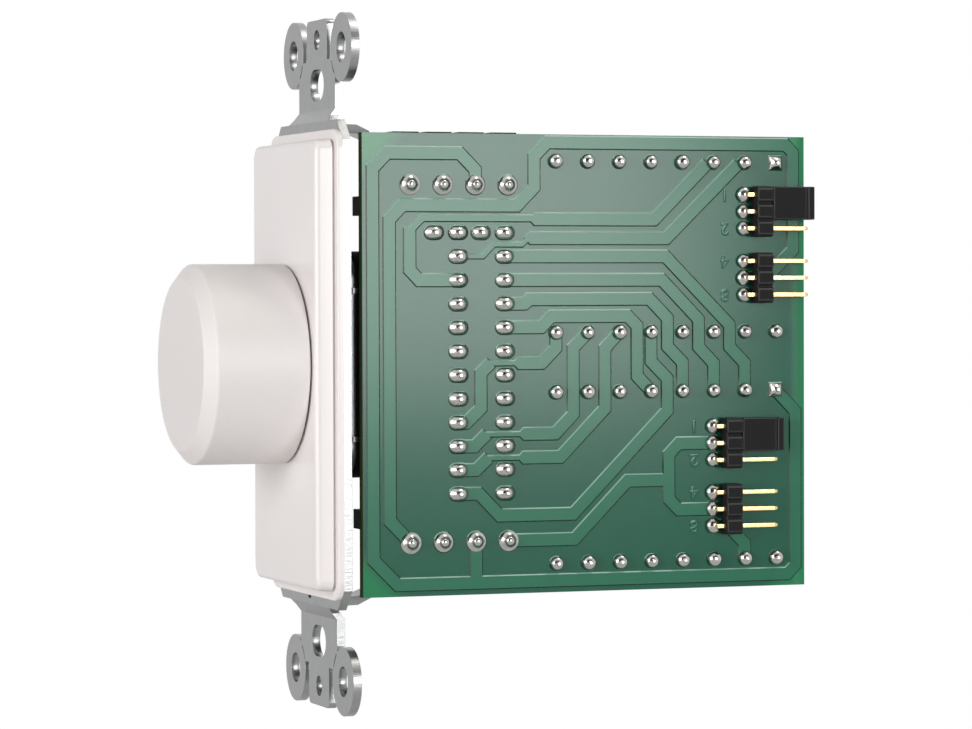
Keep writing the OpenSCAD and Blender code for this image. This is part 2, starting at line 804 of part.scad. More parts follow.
module rotor(row) {
    y0 = wafer_y + wafer_l * row + rotor_inset;
    difference() {
        along_y(y0, y0 + rotor_l) difference() {
            circle(d = rotor_d);
            shaft_outline(seat_clear);
        }
        wiper_block(row, seat_clear);
    }
}

module front_rotor() {
    color("beige") rotor(0);
}

module rear_rotor() {
    color("beige") rotor(1);
}

module wiper_springs() {
    color("gold") for (row = [0:1]) intersection() {
        wiper_block(row, 0);
        rod_y(rotor_d, wafer_y, rear_plate_y);
    }
}

module switch_pins() {
    color("lightgray") for (p = concat(switch_pads, common_pads)) translate([0, p[0], p[1]])
        rod_x(switch_pin_d, foot_x1 - pin_seat, board_x1);
}

module switch_rear_plate() {
    color("silver") difference() {
        box(
            [-leg_x1, rear_plate_y, -rear_plate_h / 2],
            [leg_x1, rear_plate_y + rear_plate_t, rear_plate_h / 2]
        );
        rod_y(shaft_d + 2 * run_clear, rear_plate_y - over, shaft_end_y);
        four_ways() switch_leg(seat_clear, shaft_end_y);
    }
}

// Circuit board
module board_hole(p, d) {
    translate([0, p[0], p[1]]) rod_x(d + 2 * lead_clear, board_x0 - over, copper_x1 + over);
}

module circuit_board() {
    color("seagreen") difference() {
        box([board_x0, board_y0, -board_h / 2], [board_x1, board_y1, board_h / 2]);
        for (p = core_pads) board_hole(p, core_pin_d);
        for (p = concat(switch_pads, common_pads)) board_hole(p, switch_pin_d);
        for (p = pole_pads) board_hole(p, leg_pin * sqrt(2));
        for (p = header_pads) board_hole(p, header_pin * sqrt(2));
    }
}

// Outline of a track of one width along a list of points, with mitred corners
function unit(v) = v / norm(v);
function left_of(v) = [-v[1], v[0]];
function track_normal(path, k) =
    let (
        last = len(path) - 1,
        before = left_of(unit(path[max(k, 1)] - path[max(k, 1) - 1])),
        after = left_of(unit(path[min(k, last - 1) + 1] - path[min(k, last - 1)])),
        middle = before + after
    )
    middle / (1 + before * after);
function track_side(path, offset) = [for (k = [0:len(path) - 1]) path[k] + offset * track_normal(path, k)];
function backwards(list) = [for (k = [len(list) - 1:-1:0]) list[k]];

module track(path, w = track_w) {
    along_x(board_x1, copper_x1)
        polygon(concat(track_side(path, w / 2), backwards(track_side(path, -w / 2))));
}

module pad(p, d) {
    translate([0, p[0], p[1]]) rod_x(d, board_x1, copper_x1);
}

// Lanes along the board's edges
lane_front = board_y0 + 1.6;
lane_front_inner = board_y0 + 4.15;
lane_rear = board_y1 - 1.5;
lane_rear_inner = board_y1 - 1.85;
lane_top = board_h / 2 - 2.95;
lane_top_outer = board_h / 2 - 1.2;
lane_bottom = -board_h / 2 + 1.75;

// The ring round three edges, from the lower transformer to the upper block
ring_path = [
    core_pad(2, 7), [lane_rear, -7.6], [lane_rear, lane_bottom + 1.3], [lane_rear - 1.3, lane_bottom],
    [lane_front + 3.7, lane_bottom], [lane_front, lane_bottom + 3.7], [lane_front, lane_top - 2.3],
    [lane_front + 2.3, lane_top], [pole_pad(0, 2)[0] - 2.4, lane_top],
    [pole_pad(0, 2)[0], lane_top - 2.4], pole_pad(0, 2)
];
ring_branch = [pole_pad(1, 2), [pole_pad(1, 2)[0], lane_bottom]];
// From the lower block, up the front and along the top to the upper headers
top_path = [
    pole_pad(1, 0), [lane_front_inner, -22.9], [lane_front_inner, 21.3], [lane_front_inner + 2.1, 23.4],
    [24.2, 23.4], [26.9, 26.1], [26.9, lane_top_outer - 2.1], [29, lane_top_outer],
    [lane_rear_inner - 1.2, lane_top_outer], [lane_rear_inner, lane_top_outer - 1.2],
    [lane_rear_inner, 16.9], [64.4, header_pad(1, 1)[1]], header_pad(1, 1)
];
// From the switch to the pins of the upper transformer
upper_paths = [
    [switch_pad(0, 2), [8.9, switch_pad(0, 2)[1]], [7.45, 13.9], [7.45, 20.2]],
    [[26.8, 21.4], [46.1, 21.4], core_pad(0, 5) - [0.9, 0.1]],
    [[26.1, 18.6], [48.05, 18.6], core_pad(0, 6) - [0.9, 0.1]]
];
// Beside the top lane the first of them is narrower
middle_paths = [[[7.6, 19.7], [9.45, 21.54], [26.9, 21.54]]];
// From the switch to the pins of the lower transformer
lower_paths = [
    [switch_pad(1, 1), [47.9, switch_pad(1, 1)[1]], [58.3, 5.6], [58.3, 2.3],
        [60.78, -0.2], core_pad(2, 6)],
    [switch_pad(1, 2), [47.3, switch_pad(1, 2)[1]], [53.25, 6.45], [53.25, 2.3],
        [55.7, -0.2], core_pad(2, 5)],
    [switch_pad(1, 3), [25.4, switch_pad(1, 3)[1]], [26.1, 9.55], [45.3, 9.55], [48.2, 6.65],
        [48.2, 2.4], [50.62, 0], core_pad(2, 4)],
    [switch_pad(1, 4), [28, switch_pad(1, 4)[1]], [29.6, 7], [41.8, 7], [43.3, 5.5],
        [43.3, -2], core_pad(2, 3)]
];
// From the switch's lower pins to the upper transformer's inner row
inner_paths = [
    [switch_pad(0, 11), [18.1, switch_pad(0, 11)[1]], [21.35, -22.4], [33, -22.4], [48.15, -7.25],
        [48.15, -2.4], [45.54, 0.2], core_pad(1, 3)],
    [[24.2, 0.1], [28.1, 0.1], [30.3, 2.3], core_pad(1, 0)],
    [[25, -10.4], [30.2, -10.4], [33.05, -7.55], [33.05, 2.3], core_pad(1, 1)],
    [[24.9, -13.9], [31, -13.9], [38.1, -6.8], [38.1, 2.2], core_pad(1, 2)]
];
// Where those three start, at the switch
start_paths = [
    [switch_pad(0, 8), [16.2, switch_pad(0, 8)[1]], [18.46, -6.5], [18.46, -1.3], [20.15, 0.32]],
    [switch_pad(0, 9), [17.45, switch_pad(0, 9)[1]], [19.5, -10.2]],
    [switch_pad(0, 10), [17.7, switch_pad(0, 10)[1]], [19.75, -13.7]]
];
// Tracks narrow enough to pass between two pads
narrow_paths = [
    [switch_pad(0, 1), [18.85, switch_pad(0, 1)[1]], [20.6, 17.65], [25, 17.65], [26, 18.6]],
    [[19.6, 0.1], [24.4, 0.1]], [[19, -10.4], [25.2, -10.4]], [[19.2, -13.9], [25.1, -13.9]]
];
// Where a narrow track widens
widenings = [upper_paths[1][0], upper_paths[2][0], inner_paths[1][0], inner_paths[2][0], inner_paths[3][0]];
// From the lower block to the lower headers, and on to the lower transformer
header_turn = 2.8;
header_paths = [
    [pole_pad(1, 3), [33.2, pole_pad(1, 3)[1]], [41.7, -17.65], [48.4, -17.65]],
    [header_pad(2, 1), [50, header_pad(2, 1)[1]], [48.4, header_pad(2, 1)[1] - 1.6],
        [48.4, header_pad(3, 1)[1] + 1.6], [50, header_pad(3, 1)[1]], header_pad(3, 1)],
    [header_pad(3, 2), header_pad(3, 2) + [core_pad(3, 6)[0] - header_y[3] - header_turn, 0],
        [core_pad(3, 6)[0], header_pad(3, 2)[1] - header_turn], core_pad(3, 6)]
];

module copper_tracks() {
    color("mediumseagreen") difference() {
        union() {
            track(ring_path);
            track(ring_branch);
            track(top_path);
            for (path = concat(upper_paths, lower_paths, inner_paths, start_paths, header_paths)) track(path);
            for (path = middle_paths) track(path, track_middle_w);
            for (path = narrow_paths) track(path, track_narrow_w);
            for (p = widenings) translate([0, p[0], p[1]])
                along_x(board_x1, copper_x1) rotate(45) square(track_w * 0.65, center = true);
            for (p = concat(core_pads, header_pads)) pad(p, pad_small_d);
            for (p = pole_pads) pad(p, pad_large_d);
            for (p = concat(switch_pads, common_pads)) translate([0, p[0], p[1]])
                along_x(board_x1, copper_x1) slot_outline(pad_large_d, pad_small_d);
            for (p = square_pads) translate([board_x1, p[0] - pad_small_d / 2, p[1] - pad_small_d / 2])
                cube([copper_t, pad_small_d, pad_small_d]);
        }
        for (p = header_pads) board_hole(p, header_pin * sqrt(2));
    }
}

// A joint flares from its pad, at a shoulder, a waist and a tip that are shares of its size
solder_shoulder = 0.3;
solder_neck = 0.65;
solder_waist = 0.67;
pad_rim = 0.1;

module solder_joint(pad_d) {
    base_r = pad_d / 2 - pad_rim;
    tip_r = switch_pin_d / 2;
    rotate([0, 90, 0]) rotate_extrude() polygon([
        [0, 0], [base_r, 0], [base_r * solder_waist, solder_h * solder_shoulder],
        [tip_r, solder_h * solder_neck], [tip_r, solder_h], [0, solder_h]
    ]);
}

module solder_joints() {
    color("silver") {
        for (p = concat(core_pads, switch_pads, common_pads))
            translate([copper_x1, p[0], p[1]]) solder_joint(pad_small_d);
        for (p = pole_pads) translate([copper_x1, p[0], p[1]]) solder_joint(pad_large_d);
        difference() {
            for (p = header_pads) translate([copper_x1, p[0], p[1]]) solder_joint(pad_small_d);
            header_pins();
        }
    }
}

// Jumpers
header_axis_x = board_x1 + header_rise;

module header_moulding(h) {
    y0 = header_y[h] + header_setback;
    count = header_pins_each;
    notch = 0.3;
    x1 = header_axis_x + header_pitch / 2;
    z1 = header_z[h] + header_pitch / 2;
    difference() {
        box([copper_x1, y0, z1 - header_pitch * count], [x1, y0 + header_pitch, z1]);
        for (k = [0:count]) translate([x1, y0 + header_pitch / 2, z1 - header_pitch * k])
            rotate([0, 45, 0]) cube([2 * notch, header_pitch + 2 * over, 2 * notch], center = true);
        for (k = [0:count - 1]) translate([header_axis_x, y0 - over, header_z[h] - header_pitch * k])
            box(
                [-header_pin / 2 - seat_clear, 0, -header_pin / 2 - seat_clear],
                [header_pin / 2 + seat_clear, header_pitch + 2 * over, header_pin / 2 + seat_clear]
            );
    }
}

module pin_headers() {
    color("black") for (h = [0:3]) header_moulding(h);
}

module header_pins() {
    half = header_pin / 2;
    color("goldenrod") for (h = [0:3], k = [0:header_pins_each - 1]) {
        p = header_pad(h, k);
        tip_y = p[0] + header_setback + header_pitch + header_free_l;
        box([header_axis_x - half, p[0] - half, p[1] - half], [header_axis_x + half, tip_y, p[1] + half]);
        box([board_x0, p[0] - half, p[1] - half], [header_axis_x, p[0] + half, p[1] + half]);
    }
}

// A shunt that bridges the two top pins of a header
function shunt_z(h) = header_z[h] - header_pitch / 2;
function shunt_y(h) = header_y[h] + header_setback + header_pitch + shunt_stop_gap;
shunt_stop_gap = 0.05;
shunt_room = 0.12;
shunt_leaf = 0.2;
shunt_leaf_inset = 0.4;
shunt_tip_room = 0.15;
shunt_pocket_l = header_free_l + shunt_tip_room;
shunt_rib = 0.35;
shunt_rib_back = 1.4;

module shunt_bore(h, k, grow_x) {
    half = header_pin / 2 + shunt_room;
    translate([header_axis_x, shunt_y(h), header_z[h] - header_pitch * k]) box(
        [-half - grow_x, -over, -half], [half + grow_x, shunt_pocket_l, half]
    );
}

module shunt(h) {
    rib_y = shunt_y(h) + shunt_l - shunt_rib_back;
    difference() {
        box(
            [header_axis_x - shunt_t / 2, shunt_y(h), shunt_z(h) - shunt_w / 2],
            [header_axis_x + shunt_t / 2, shunt_y(h) + shunt_l, shunt_z(h) + shunt_w / 2]
        );
        for (k = [0, 1]) shunt_bore(h, k, shunt_leaf);
        box(
            [header_axis_x + shunt_t / 2 - shunt_rib, rib_y, shunt_z(h) - shunt_w],
            [header_axis_x + shunt_t / 2 + over, rib_y + shunt_rib, shunt_z(h) + shunt_w]
        );
    }
}

module shunt_contact(h) {
    leaf_x = header_axis_x + header_pin / 2 + shunt_room;
    for (k = [0, 1]) translate([leaf_x, shunt_y(h), header_z[h] - header_pitch * k]) box(
        [seat_clear, shunt_leaf_inset, -header_pin / 2],
        [shunt_leaf - seat_clear, shunt_pocket_l - shunt_leaf_inset, header_pin / 2]
    );
}

module upper_shunt() {
    color("black") shunt(shunt_headers[0]);
}

module lower_shunt() {
    color("black") shunt(shunt_headers[1]);
}

module upper_shunt_contact() {
    color("gold") shunt_contact(shunt_headers[0]);
}

module lower_shunt_contact() {
    color("gold") shunt_contact(shunt_headers[1]);
}

// Transformers, drawn about the middle of the core and then set in place
core_yoke = core_leg / 2;
core_window_w = (core_w - 2 * core_yoke - core_leg) / 2;
core_window_h = core_h - 2 * core_yoke;
winding_t = core_window_w - bobbin_wall - tape_t - winding_gap;
winding_half = core_stack / 2 + bobbin_wall + seat_clear + winding_t + tape_t;
core_x = board_x0 - core_board_gap - winding_half;
flange_gap = 0.2;
bar_h = 3.2;
bar_rest = 0.1;
bar_margin = 1.9;
bar_floor = 0.8;

module at_core(side) {
    translate([core_x, core_y, grid_z + side * core_z]) children();
}

module core() {
    along_x(-core_stack / 2, core_stack / 2) difference() {
        square([core_w, core_h], center = true);
        for (s = [-1, 1]) translate([s * (core_leg + core_window_w) / 2, 0])
            square([core_window_w, core_window_h], center = true);
    }
}

// A square tube round the middle leg, from one size to another
module sleeve(inner, outer, z0, z1) {
    for_x = core_stack / 2;
    for_y = core_leg / 2;
    difference() {
        box([-for_x - outer, -for_y - outer, z0], [for_x + outer, for_y + outer, z1]);
        box([-for_x - inner, -for_y - inner, z0 - over], [for_x + inner, for_y + inner, z1 + over]);
    }
}

module bobbin() {
    tube_z = core_window_h / 2 - seat_clear;
    flange_out = core_window_w - flange_gap;
    bar_x1 = board_x0 - bar_rest - core_x;
    bar_z1 = core_row_pitch / 2 + bar_margin;
    difference() {
        union() {
            sleeve(seat_clear, seat_clear + bobbin_wall, -tube_z, tube_z);
            both_ends() {
                sleeve(seat_clear, flange_out, tube_z - bobbin_wall, tube_z);
                box(
                    [bar_x1 - bar_h, -core_length / 2 - bar_margin, tube_z - bobbin_wall],
                    [bar_x1, core_length / 2 + bar_margin, bar_z1]
                );
            }
        }
        for (s = [-1, 1], k = [0:core_pins - 1])
            translate([0, core_pin_pitch * k - core_length / 2, s * core_row_pitch / 2])
                rod_x(core_pin_d + 2 * seat_clear, bar_x1 - bar_h + bar_floor, bar_x1 + over);
    }
}

module winding() {
    z = core_window_h / 2 - seat_clear - bobbin_wall;
    inner = 2 * seat_clear + bobbin_wall;
    sleeve(inner, inner + winding_t - 2 * seat_clear, -z + seat_clear, z - seat_clear);
}

module tape() {
    z = core_window_h / 2 - seat_clear - bobbin_wall;
    inner = bobbin_wall + winding_t + seat_clear;
    sleeve(inner, inner + tape_t, -z + seat_clear, z - seat_clear);
}

module upper_core() {
    color("slategray") at_core(1) core();
}

module lower_core() {
    color("slategray") at_core(-1) core();
}

module upper_bobbin() {
    color("ivory") at_core(1) bobbin();
}

module lower_bobbin() {
    color("ivory") at_core(-1) bobbin();
}

module upper_winding() {
    color("peru") at_core(1) winding();
}

module lower_winding() {
    color("peru") at_core(-1) winding();
}

module upper_tape() {
    color("khaki") at_core(1) tape();
}

module lower_tape() {
    color("khaki") at_core(-1) tape();
}

module transformer_pins() {
    color("lightgray") for (p = core_pads) translate([0, p[0], p[1]])
        rod_x(core_pin_d, board_x0 - bar_rest - bar_h + bar_floor + seat_clear, board_x1);
}

// Terminal blocks, drawn with X as the height above the board, Y from the first leg and Z outwards
cage_wall = 0.8;
chamber_z0 = 0.9;
chamber_z1 = 6.1;
chamber_half = 2.15;
chamber_x0 = 1.2;
tail_x0 = 5.65;
tail_t = 0.7;
tail_half = 1.2;
tail_end = 0.1;
tail_gap = 0.05;
cage_room = 0.25;
cage_side_room = 0.15;
cage_top_room = 0.2;
cage_x0 = chamber_x0 + cage_room;
cage_x1 = tail_x0 + tail_t + cage_wall + tail_gap;
cage_z0 = chamber_z0 + cage_room;
cage_z1 = chamber_z1 - cage_room;
cage_half = chamber_half - cage_side_room;
screw_side_room = 0.15;
cage_side = cage_half - clamp_screw_d / 2 - screw_side_room;
screw_z = (chamber_z0 + chamber_z1) / 2;
chamber_x1 = cage_x1 + clamp_travel + cage_top_room;
ledge_t = 0.45;
head_gap = 0.05;
head_x0 = chamber_x1 + ledge_t + head_gap;
head_t = 1.6;
screw_tip_gap = 0.1;
screw_tip_x = tail_x0 + tail_t + screw_tip_gap;
rib_out = 1.8;
rib_z1 = -1.5;
collar_gap = 1.05;
collar_depth = 0.65;
block_y0 = -pole_pitch / 2;
block_y1 = block_y0 + pole_pitch * poles;

module at_block(block) {
    p = pole_pad(block, 0);
    translate([board_x0, p[0], p[1]]) mirror([1, 0, 0]) mirror([0, 0, block]) children();
}

module terminal_block() {
    difference() {
        union() {
            box([0, block_y0, -terminal_back], [terminal_h, block_y1, terminal_reach]);
            box([0, block_y0 - rib_out, -terminal_back], [terminal_h, block_y0 + over, rib_z1]);
        }
        for (k = [0:poles - 1]) translate([0, pole_pitch * k, 0]) {
            box([chamber_x0, -chamber_half, chamber_z0], [chamber_x1, chamber_half, chamber_z1]);
            translate([(cage_x0 + cage_wall + tail_x0) / 2, 0, chamber_z1 - over])
                cylinder(d = wire_d, h = terminal_reach);
            translate([0, 0, screw_z]) {
                rod_x(clamp_screw_d + 2 * run_clear, chamber_x1 - over, terminal_h + over);
                rod_x(clamp_head_d + 2 * run_clear, chamber_x1 + ledge_t, terminal_h + over);
            }
            box(
                [-over, -leg_pin / 2 - seat_clear, -leg_pin / 2 - seat_clear],
                [tail_x0 + tail_t + seat_clear, leg_pin / 2 + seat_clear, leg_pin / 2 + seat_clear]
            );
            box(
                [tail_x0 - seat_clear, -tail_half - seat_clear, -leg_pin / 2 - seat_clear],
                [tail_x0 + tail_t + seat_clear, tail_half + seat_clear, chamber_z0 + over]
            );
        }
        for (k = [0:poles]) box(
            [-over, pole_pitch * (k - 0.5) - collar_gap / 2, terminal_reach - collar_depth],
            [terminal_h + over, pole_pitch * (k - 0.5) + collar_gap / 2, terminal_reach + over]
        );
    }
}

module terminal_leg() {
    box([-board_t, -leg_pin / 2, -leg_pin / 2], [tail_x0 + tail_t, leg_pin / 2, leg_pin / 2]);
    box([tail_x0, -tail_half, -leg_pin / 2], [tail_x0 + tail_t, tail_half, cage_z1 - tail_end]);
}

module clamp_screw() {
    slot_w = 0.8;
    slot_t = 0.9;
    translate([0, 0, screw_z]) difference() {
        union() {
            rod_x(clamp_screw_d, screw_tip_x, head_x0 + over);
            rod_x(clamp_head_d, head_x0, head_x0 + head_t);
        }
        box(
            [head_x0 + head_t - slot_t, -slot_w / 2, -clamp_head_d],
            [head_x0 + head_t + over, slot_w / 2, clamp_head_d]
        );
    }
}

module clamp_cage() {
    difference() {
        box([cage_x0, -cage_half, cage_z0], [cage_x1, cage_half, cage_z1]);
        box(
            [cage_x0 + cage_wall, -cage_half + cage_side, cage_z0 - over],
            [cage_x1 - cage_wall, cage_half - cage_side, cage_z1 + over]
        );
        translate([0, 0, screw_z])
            rod_x(clamp_screw_d + 2 * run_clear, cage_x1 - cage_wall - over, cage_x1 + over);
    }
}

module upper_terminal_block() {
    color("dimgray") at_block(0) terminal_block();
}

module lower_terminal_block() {
    color("dimgray") at_block(1) terminal_block();
}

module terminal_legs() {
    color("lightgray") for (block = [0, 1]) at_block(block)
        for (k = [0:poles - 1]) translate([0, pole_pitch * k, 0]) terminal_leg();
}

module screw_at(block, k) {
    color("silver") at_block(block) translate([0, pole_pitch * (k - 1), 0]) clamp_screw();
}

module clamp_at(block, k) {
    color("goldenrod") at_block(block) translate([0, pole_pitch * (k - 1), 0]) clamp_cage();
}

mounting_strap();
front_insert();
knob();
knob_clip();
shaft();
shaft_ring();
bushing_nut();
lock_washer();
switch_bushing();
switch_front_plate();
detent_housing();
detent_wheel();
detent_balls();
detent_springs();
front_wafer();
rear_wafer();
front_rotor();
rear_rotor();
wiper_springs();
fixed_contacts();
switch_pins();
switch_rear_plate();
circuit_board();
copper_tracks();
solder_joints();
pin_headers();
header_pins();
upper_shunt();
upper_shunt_contact();
lower_shunt();
lower_shunt_contact();
upper_core();
upper_bobbin();
upper_winding();
upper_tape();
lower_core();
lower_bobbin();
lower_winding();
lower_tape();
transformer_pins();
upper_terminal_block();
lower_terminal_block();
terminal_legs();
screw_at(0, 1);  // upper_screw_1
screw_at(0, 2);  // upper_screw_2
screw_at(0, 3);  // upper_screw_3
screw_at(0, 4);  // upper_screw_4
screw_at(1, 1);  // lower_screw_1
screw_at(1, 2);  // lower_screw_2
screw_at(1, 3);  // lower_screw_3
screw_at(1, 4);  // lower_screw_4
clamp_at(0, 1);  // upper_clamp_1
clamp_at(0, 2);  // upper_clamp_2
clamp_at(0, 3);  // upper_clamp_3
clamp_at(0, 4);  // upper_clamp_4
clamp_at(1, 1);  // lower_clamp_1
clamp_at(1, 2);  // lower_clamp_2
clamp_at(1, 3);  // lower_clamp_3
clamp_at(1, 4);  // lower_clamp_4
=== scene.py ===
"""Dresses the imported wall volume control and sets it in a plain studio.

The part stands in the frame of its solids: metres, the knob towards -Y, the soldered side of the
board towards +X, Z up. Every piece sits at the origin with its place in its mesh.
"""

import logging
import math
from dataclasses import dataclass
from enum import Enum, IntEnum
from typing import Any, Callable, Iterable, Sequence

import bmesh
import bpy
from mathutils import Matrix, Quaternion, Vector


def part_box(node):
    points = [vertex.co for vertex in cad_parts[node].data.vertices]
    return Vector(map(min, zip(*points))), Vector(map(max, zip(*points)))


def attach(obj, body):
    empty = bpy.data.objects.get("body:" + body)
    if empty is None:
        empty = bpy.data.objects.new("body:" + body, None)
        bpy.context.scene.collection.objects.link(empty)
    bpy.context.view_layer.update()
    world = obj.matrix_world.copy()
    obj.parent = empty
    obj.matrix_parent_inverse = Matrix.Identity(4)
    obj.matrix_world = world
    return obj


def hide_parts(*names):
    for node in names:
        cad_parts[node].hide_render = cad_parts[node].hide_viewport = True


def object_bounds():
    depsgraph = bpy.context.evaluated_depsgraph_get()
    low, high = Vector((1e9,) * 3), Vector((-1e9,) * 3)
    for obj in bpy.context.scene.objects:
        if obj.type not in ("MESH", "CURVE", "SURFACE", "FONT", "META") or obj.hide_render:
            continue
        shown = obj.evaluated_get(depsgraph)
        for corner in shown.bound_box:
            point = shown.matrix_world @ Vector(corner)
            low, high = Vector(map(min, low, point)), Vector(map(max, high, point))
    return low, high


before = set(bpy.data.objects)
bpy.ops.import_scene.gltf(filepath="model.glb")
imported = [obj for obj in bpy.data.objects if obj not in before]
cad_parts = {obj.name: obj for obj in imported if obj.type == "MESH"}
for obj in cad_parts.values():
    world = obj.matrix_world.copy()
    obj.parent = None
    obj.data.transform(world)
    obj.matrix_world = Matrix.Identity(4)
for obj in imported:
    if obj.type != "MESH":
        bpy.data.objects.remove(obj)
CAD_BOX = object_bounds()

MM = 0.001
LOG = logging.getLogger("volume_control")
# A wave texture repeats every 2 pi / 20 of its scaled length
WAVE_PERIOD = 2 * math.pi / 20
# Octaves of the noise in patches and grain
NOISE_DETAIL = 3.0
# A face counts as square to an axis when its normal's share along that axis is above this
SQUARE_ON = 0.99
# Points of a solid, and of a turned shape, are one if they lie closer than this, in millimetres
SOLID_WELD = 0.001
LATHE_WELD = 0.0005
# Points of a lead's end face differ by less than this in depth, in millimetres
LEAD_END = 0.01
# Faces of a solid that differ by less than this are one flat face, in degrees
FLAT_DEG = 1.0
# Leads of one row agree to this many decimals of a metre
ROW_DECIMALS = 4
# Keeps a division clear of zero
TINY = 1e-9

Point = tuple[float, float]
Place = tuple[float, float, float]
Loop = tuple[float, Sequence[Point]]
Tree = bpy.types.NodeTree
Socket = bpy.types.NodeSocket
Shape = bmesh.types.BMesh
Mesh = bpy.types.Mesh
Piece = bpy.types.Object


class Body(str, Enum):
    """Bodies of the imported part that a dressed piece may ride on."""

    CHASSIS = "chassis"
    DIAL = "dial"
    UPPER_SHUNT = "upper_shunt"
    LOWER_SHUNT = "lower_shunt"


class LeadEnd(Enum):
    """Which end of a lead meets the soldered side of the board, along X."""

    LOW = -1
    HIGH = 1


class Lacquer(IntEnum):
    """How the lacquer lies on a face of a track, as the number of its finish: flat, thin and darkened by
    painted shade, or pale with a painted highlight.
    """

    FLAT = 0
    THIN = 1
    PAINTED_HIGHLIGHT = 2


def linear(code: str) -> tuple[float, float, float, float]:
    """Turns an sRGB colour into a linear one.

    Args:
        code: Colour as "#rrggbb".

    Returns:
        Linear red, green, blue and an alpha of 1.
    """
    shares = [int(code[k:k + 2], 16) / 255 for k in (1, 3, 5)]
    steps = [v / 12.92 if v <= 0.04045 else ((v + 0.055) / 1.055) ** 2.4 for v in shares]
    return steps[0], steps[1], steps[2], 1.0


def add_node(tree: Tree, kind: str, inputs: dict[Any, Any] | None = None,
             **settings: Any) -> bpy.types.Node:
    """Adds a node with its settings, values and links.

    Args:
        tree: Tree that takes the node.
        kind: Blender's name of the node's type.
        inputs: Value, or socket to link from, for each input by name or number.
        settings: Properties of the node itself.

    Returns:
        The new node.
    """
    node = tree.nodes.new(kind)
    for name, value in settings.items():
        setattr(node, name, value)
    for key, value in (inputs or {}).items():
        if isinstance(value, Socket):
            tree.links.new(value, node.inputs[key])
        else:
            node.inputs[key].default_value = value
    return node


def new_material(name: str) -> tuple[bpy.types.Material, Tree]:
    """Starts a material with an empty tree.

    Args:
        name: Name of the material.

    Returns:
        The material and its tree.
    """
    material = bpy.data.materials.new(name)
    material.use_nodes = True
    material.node_tree.nodes.clear()
    return material, material.node_tree


# Finishes


@dataclass(frozen=True)
class Finish:
    """A surface with patches of two close colours and a fine relief.

    Sizes are in millimetres on the real piece. A stretch above 1 draws the relief out along an axis,
    as rolling, brushing or winding does.
    """

    name: str
    slot: str
    colour: str
    shade: str
    roughness: float
    metallic: float = 0.0
    ior: float = 1.5
    patch_mm: float = 8.0
    grain_mm: float = 0.35
    relief_mm: float = 0.006
    stretch: Place = (1.0, 1.0, 1.0)
    spread: float = 0.06

    def material(self) -> bpy.types.Material:
        """Makes the material the first time it is asked for.

        Returns:
            The one material of this finish.
        """
        made = bpy.data.materials.get(self.name)
        if made:
            return made
        material, tree = new_material(self.name)
        place = add_node(tree, "ShaderNodeTexCoord").outputs["Object"]
        height = self.relief(tree, place)
        bump = add_node(tree, "ShaderNodeBump", {"Distance": self.relief_mm * MM, "Height": height})
        shader = add_node(tree, "ShaderNodeBsdfPrincipled", {
            "Base Color": self.colouring(tree, place), "Roughness": self.sheen(tree, place, height),
            "Normal": bump.outputs["Normal"], "Metallic": self.metallic, "IOR": self.ior})
        add_node(tree, "ShaderNodeOutputMaterial", {"Surface": shader.outputs["BSDF"]})
        return material

    def colouring(self, tree: Tree, place: Socket) -> Socket:
        """Mixes the two colours in patches.

        Args:
            tree: Tree of the material.
            place: Object coordinates in metres.

        Returns:
            The colour all over the surface.
        """
        patches = add_node(tree, "ShaderNodeTexNoise", {
            "Vector": place, "Scale": 1 / (self.patch_mm * MM), "Detail": NOISE_DETAIL})
        mixed = add_node(tree, "ShaderNodeMix", {
            0: patches.outputs["Fac"], 6: linear(self.colour), 7: linear(self.shade)}, data_type="RGBA")
        return mixed.outputs[2]

    def relief(self, tree: Tree, place: Socket) -> Socket:
        """Makes the fine grain.

        Args:
            tree: Tree of the material.
            place: Object coordinates in metres.

        Returns:
            The height of the surface, 0 to 1.
        """
        scale = Vector([1 / (self.grain_mm * MM * s) for s in self.stretch])
        mapping = add_node(tree, "ShaderNodeMapping", {"Vector": place, "Scale": scale})
        grain = add_node(tree, "ShaderNodeTexNoise", {
            "Vector": mapping.outputs["Vector"], "Scale": 1.0, "Detail": NOISE_DETAIL})
        return grain.outputs["Fac"]

    def sheen(self, tree: Tree, place: Socket, height: Socket) -> Socket:
        """Varies the roughness a little with the grain.

        Args:
            tree: Tree of the material.
            place: Object coordinates in metres.
            height: Height of the surface, 0 to 1.

        Returns:
            The roughness all over the surface.
        """
        rough = add_node(tree, "ShaderNodeMapRange", {
            "Value": height, "To Min": self.roughness - self.spread,
            "To Max": self.roughness + self.spread})
        return rough.outputs["Result"]


@dataclass(frozen=True)
class BandedFinish(Finish):
    """A surface with fine parallel bands, as turning, wire turns or paper layers leave."""

    pitch_mm: float = 0.5
    along: str = "X"
    waver: float = 0.3
    waver_scale: float = 0.5

    def relief(self, tree: Tree, place: Socket) -> Socket:
        """Makes bands across one axis at the real pitch.

        Args:
            tree: Tree of the material.
            place: Object coordinates in metres.

        Returns:
            The height of the surface, 0 to 1.
        """
        wave = add_node(tree, "ShaderNodeTexWave", {
            "Vector": place, "Scale": WAVE_PERIOD / (self.pitch_mm * MM), "Distortion": self.waver,
            "Detail Scale": self.waver_scale}, wave_type="BANDS", bands_direction=self.along)
        return wave.outputs["Fac"]


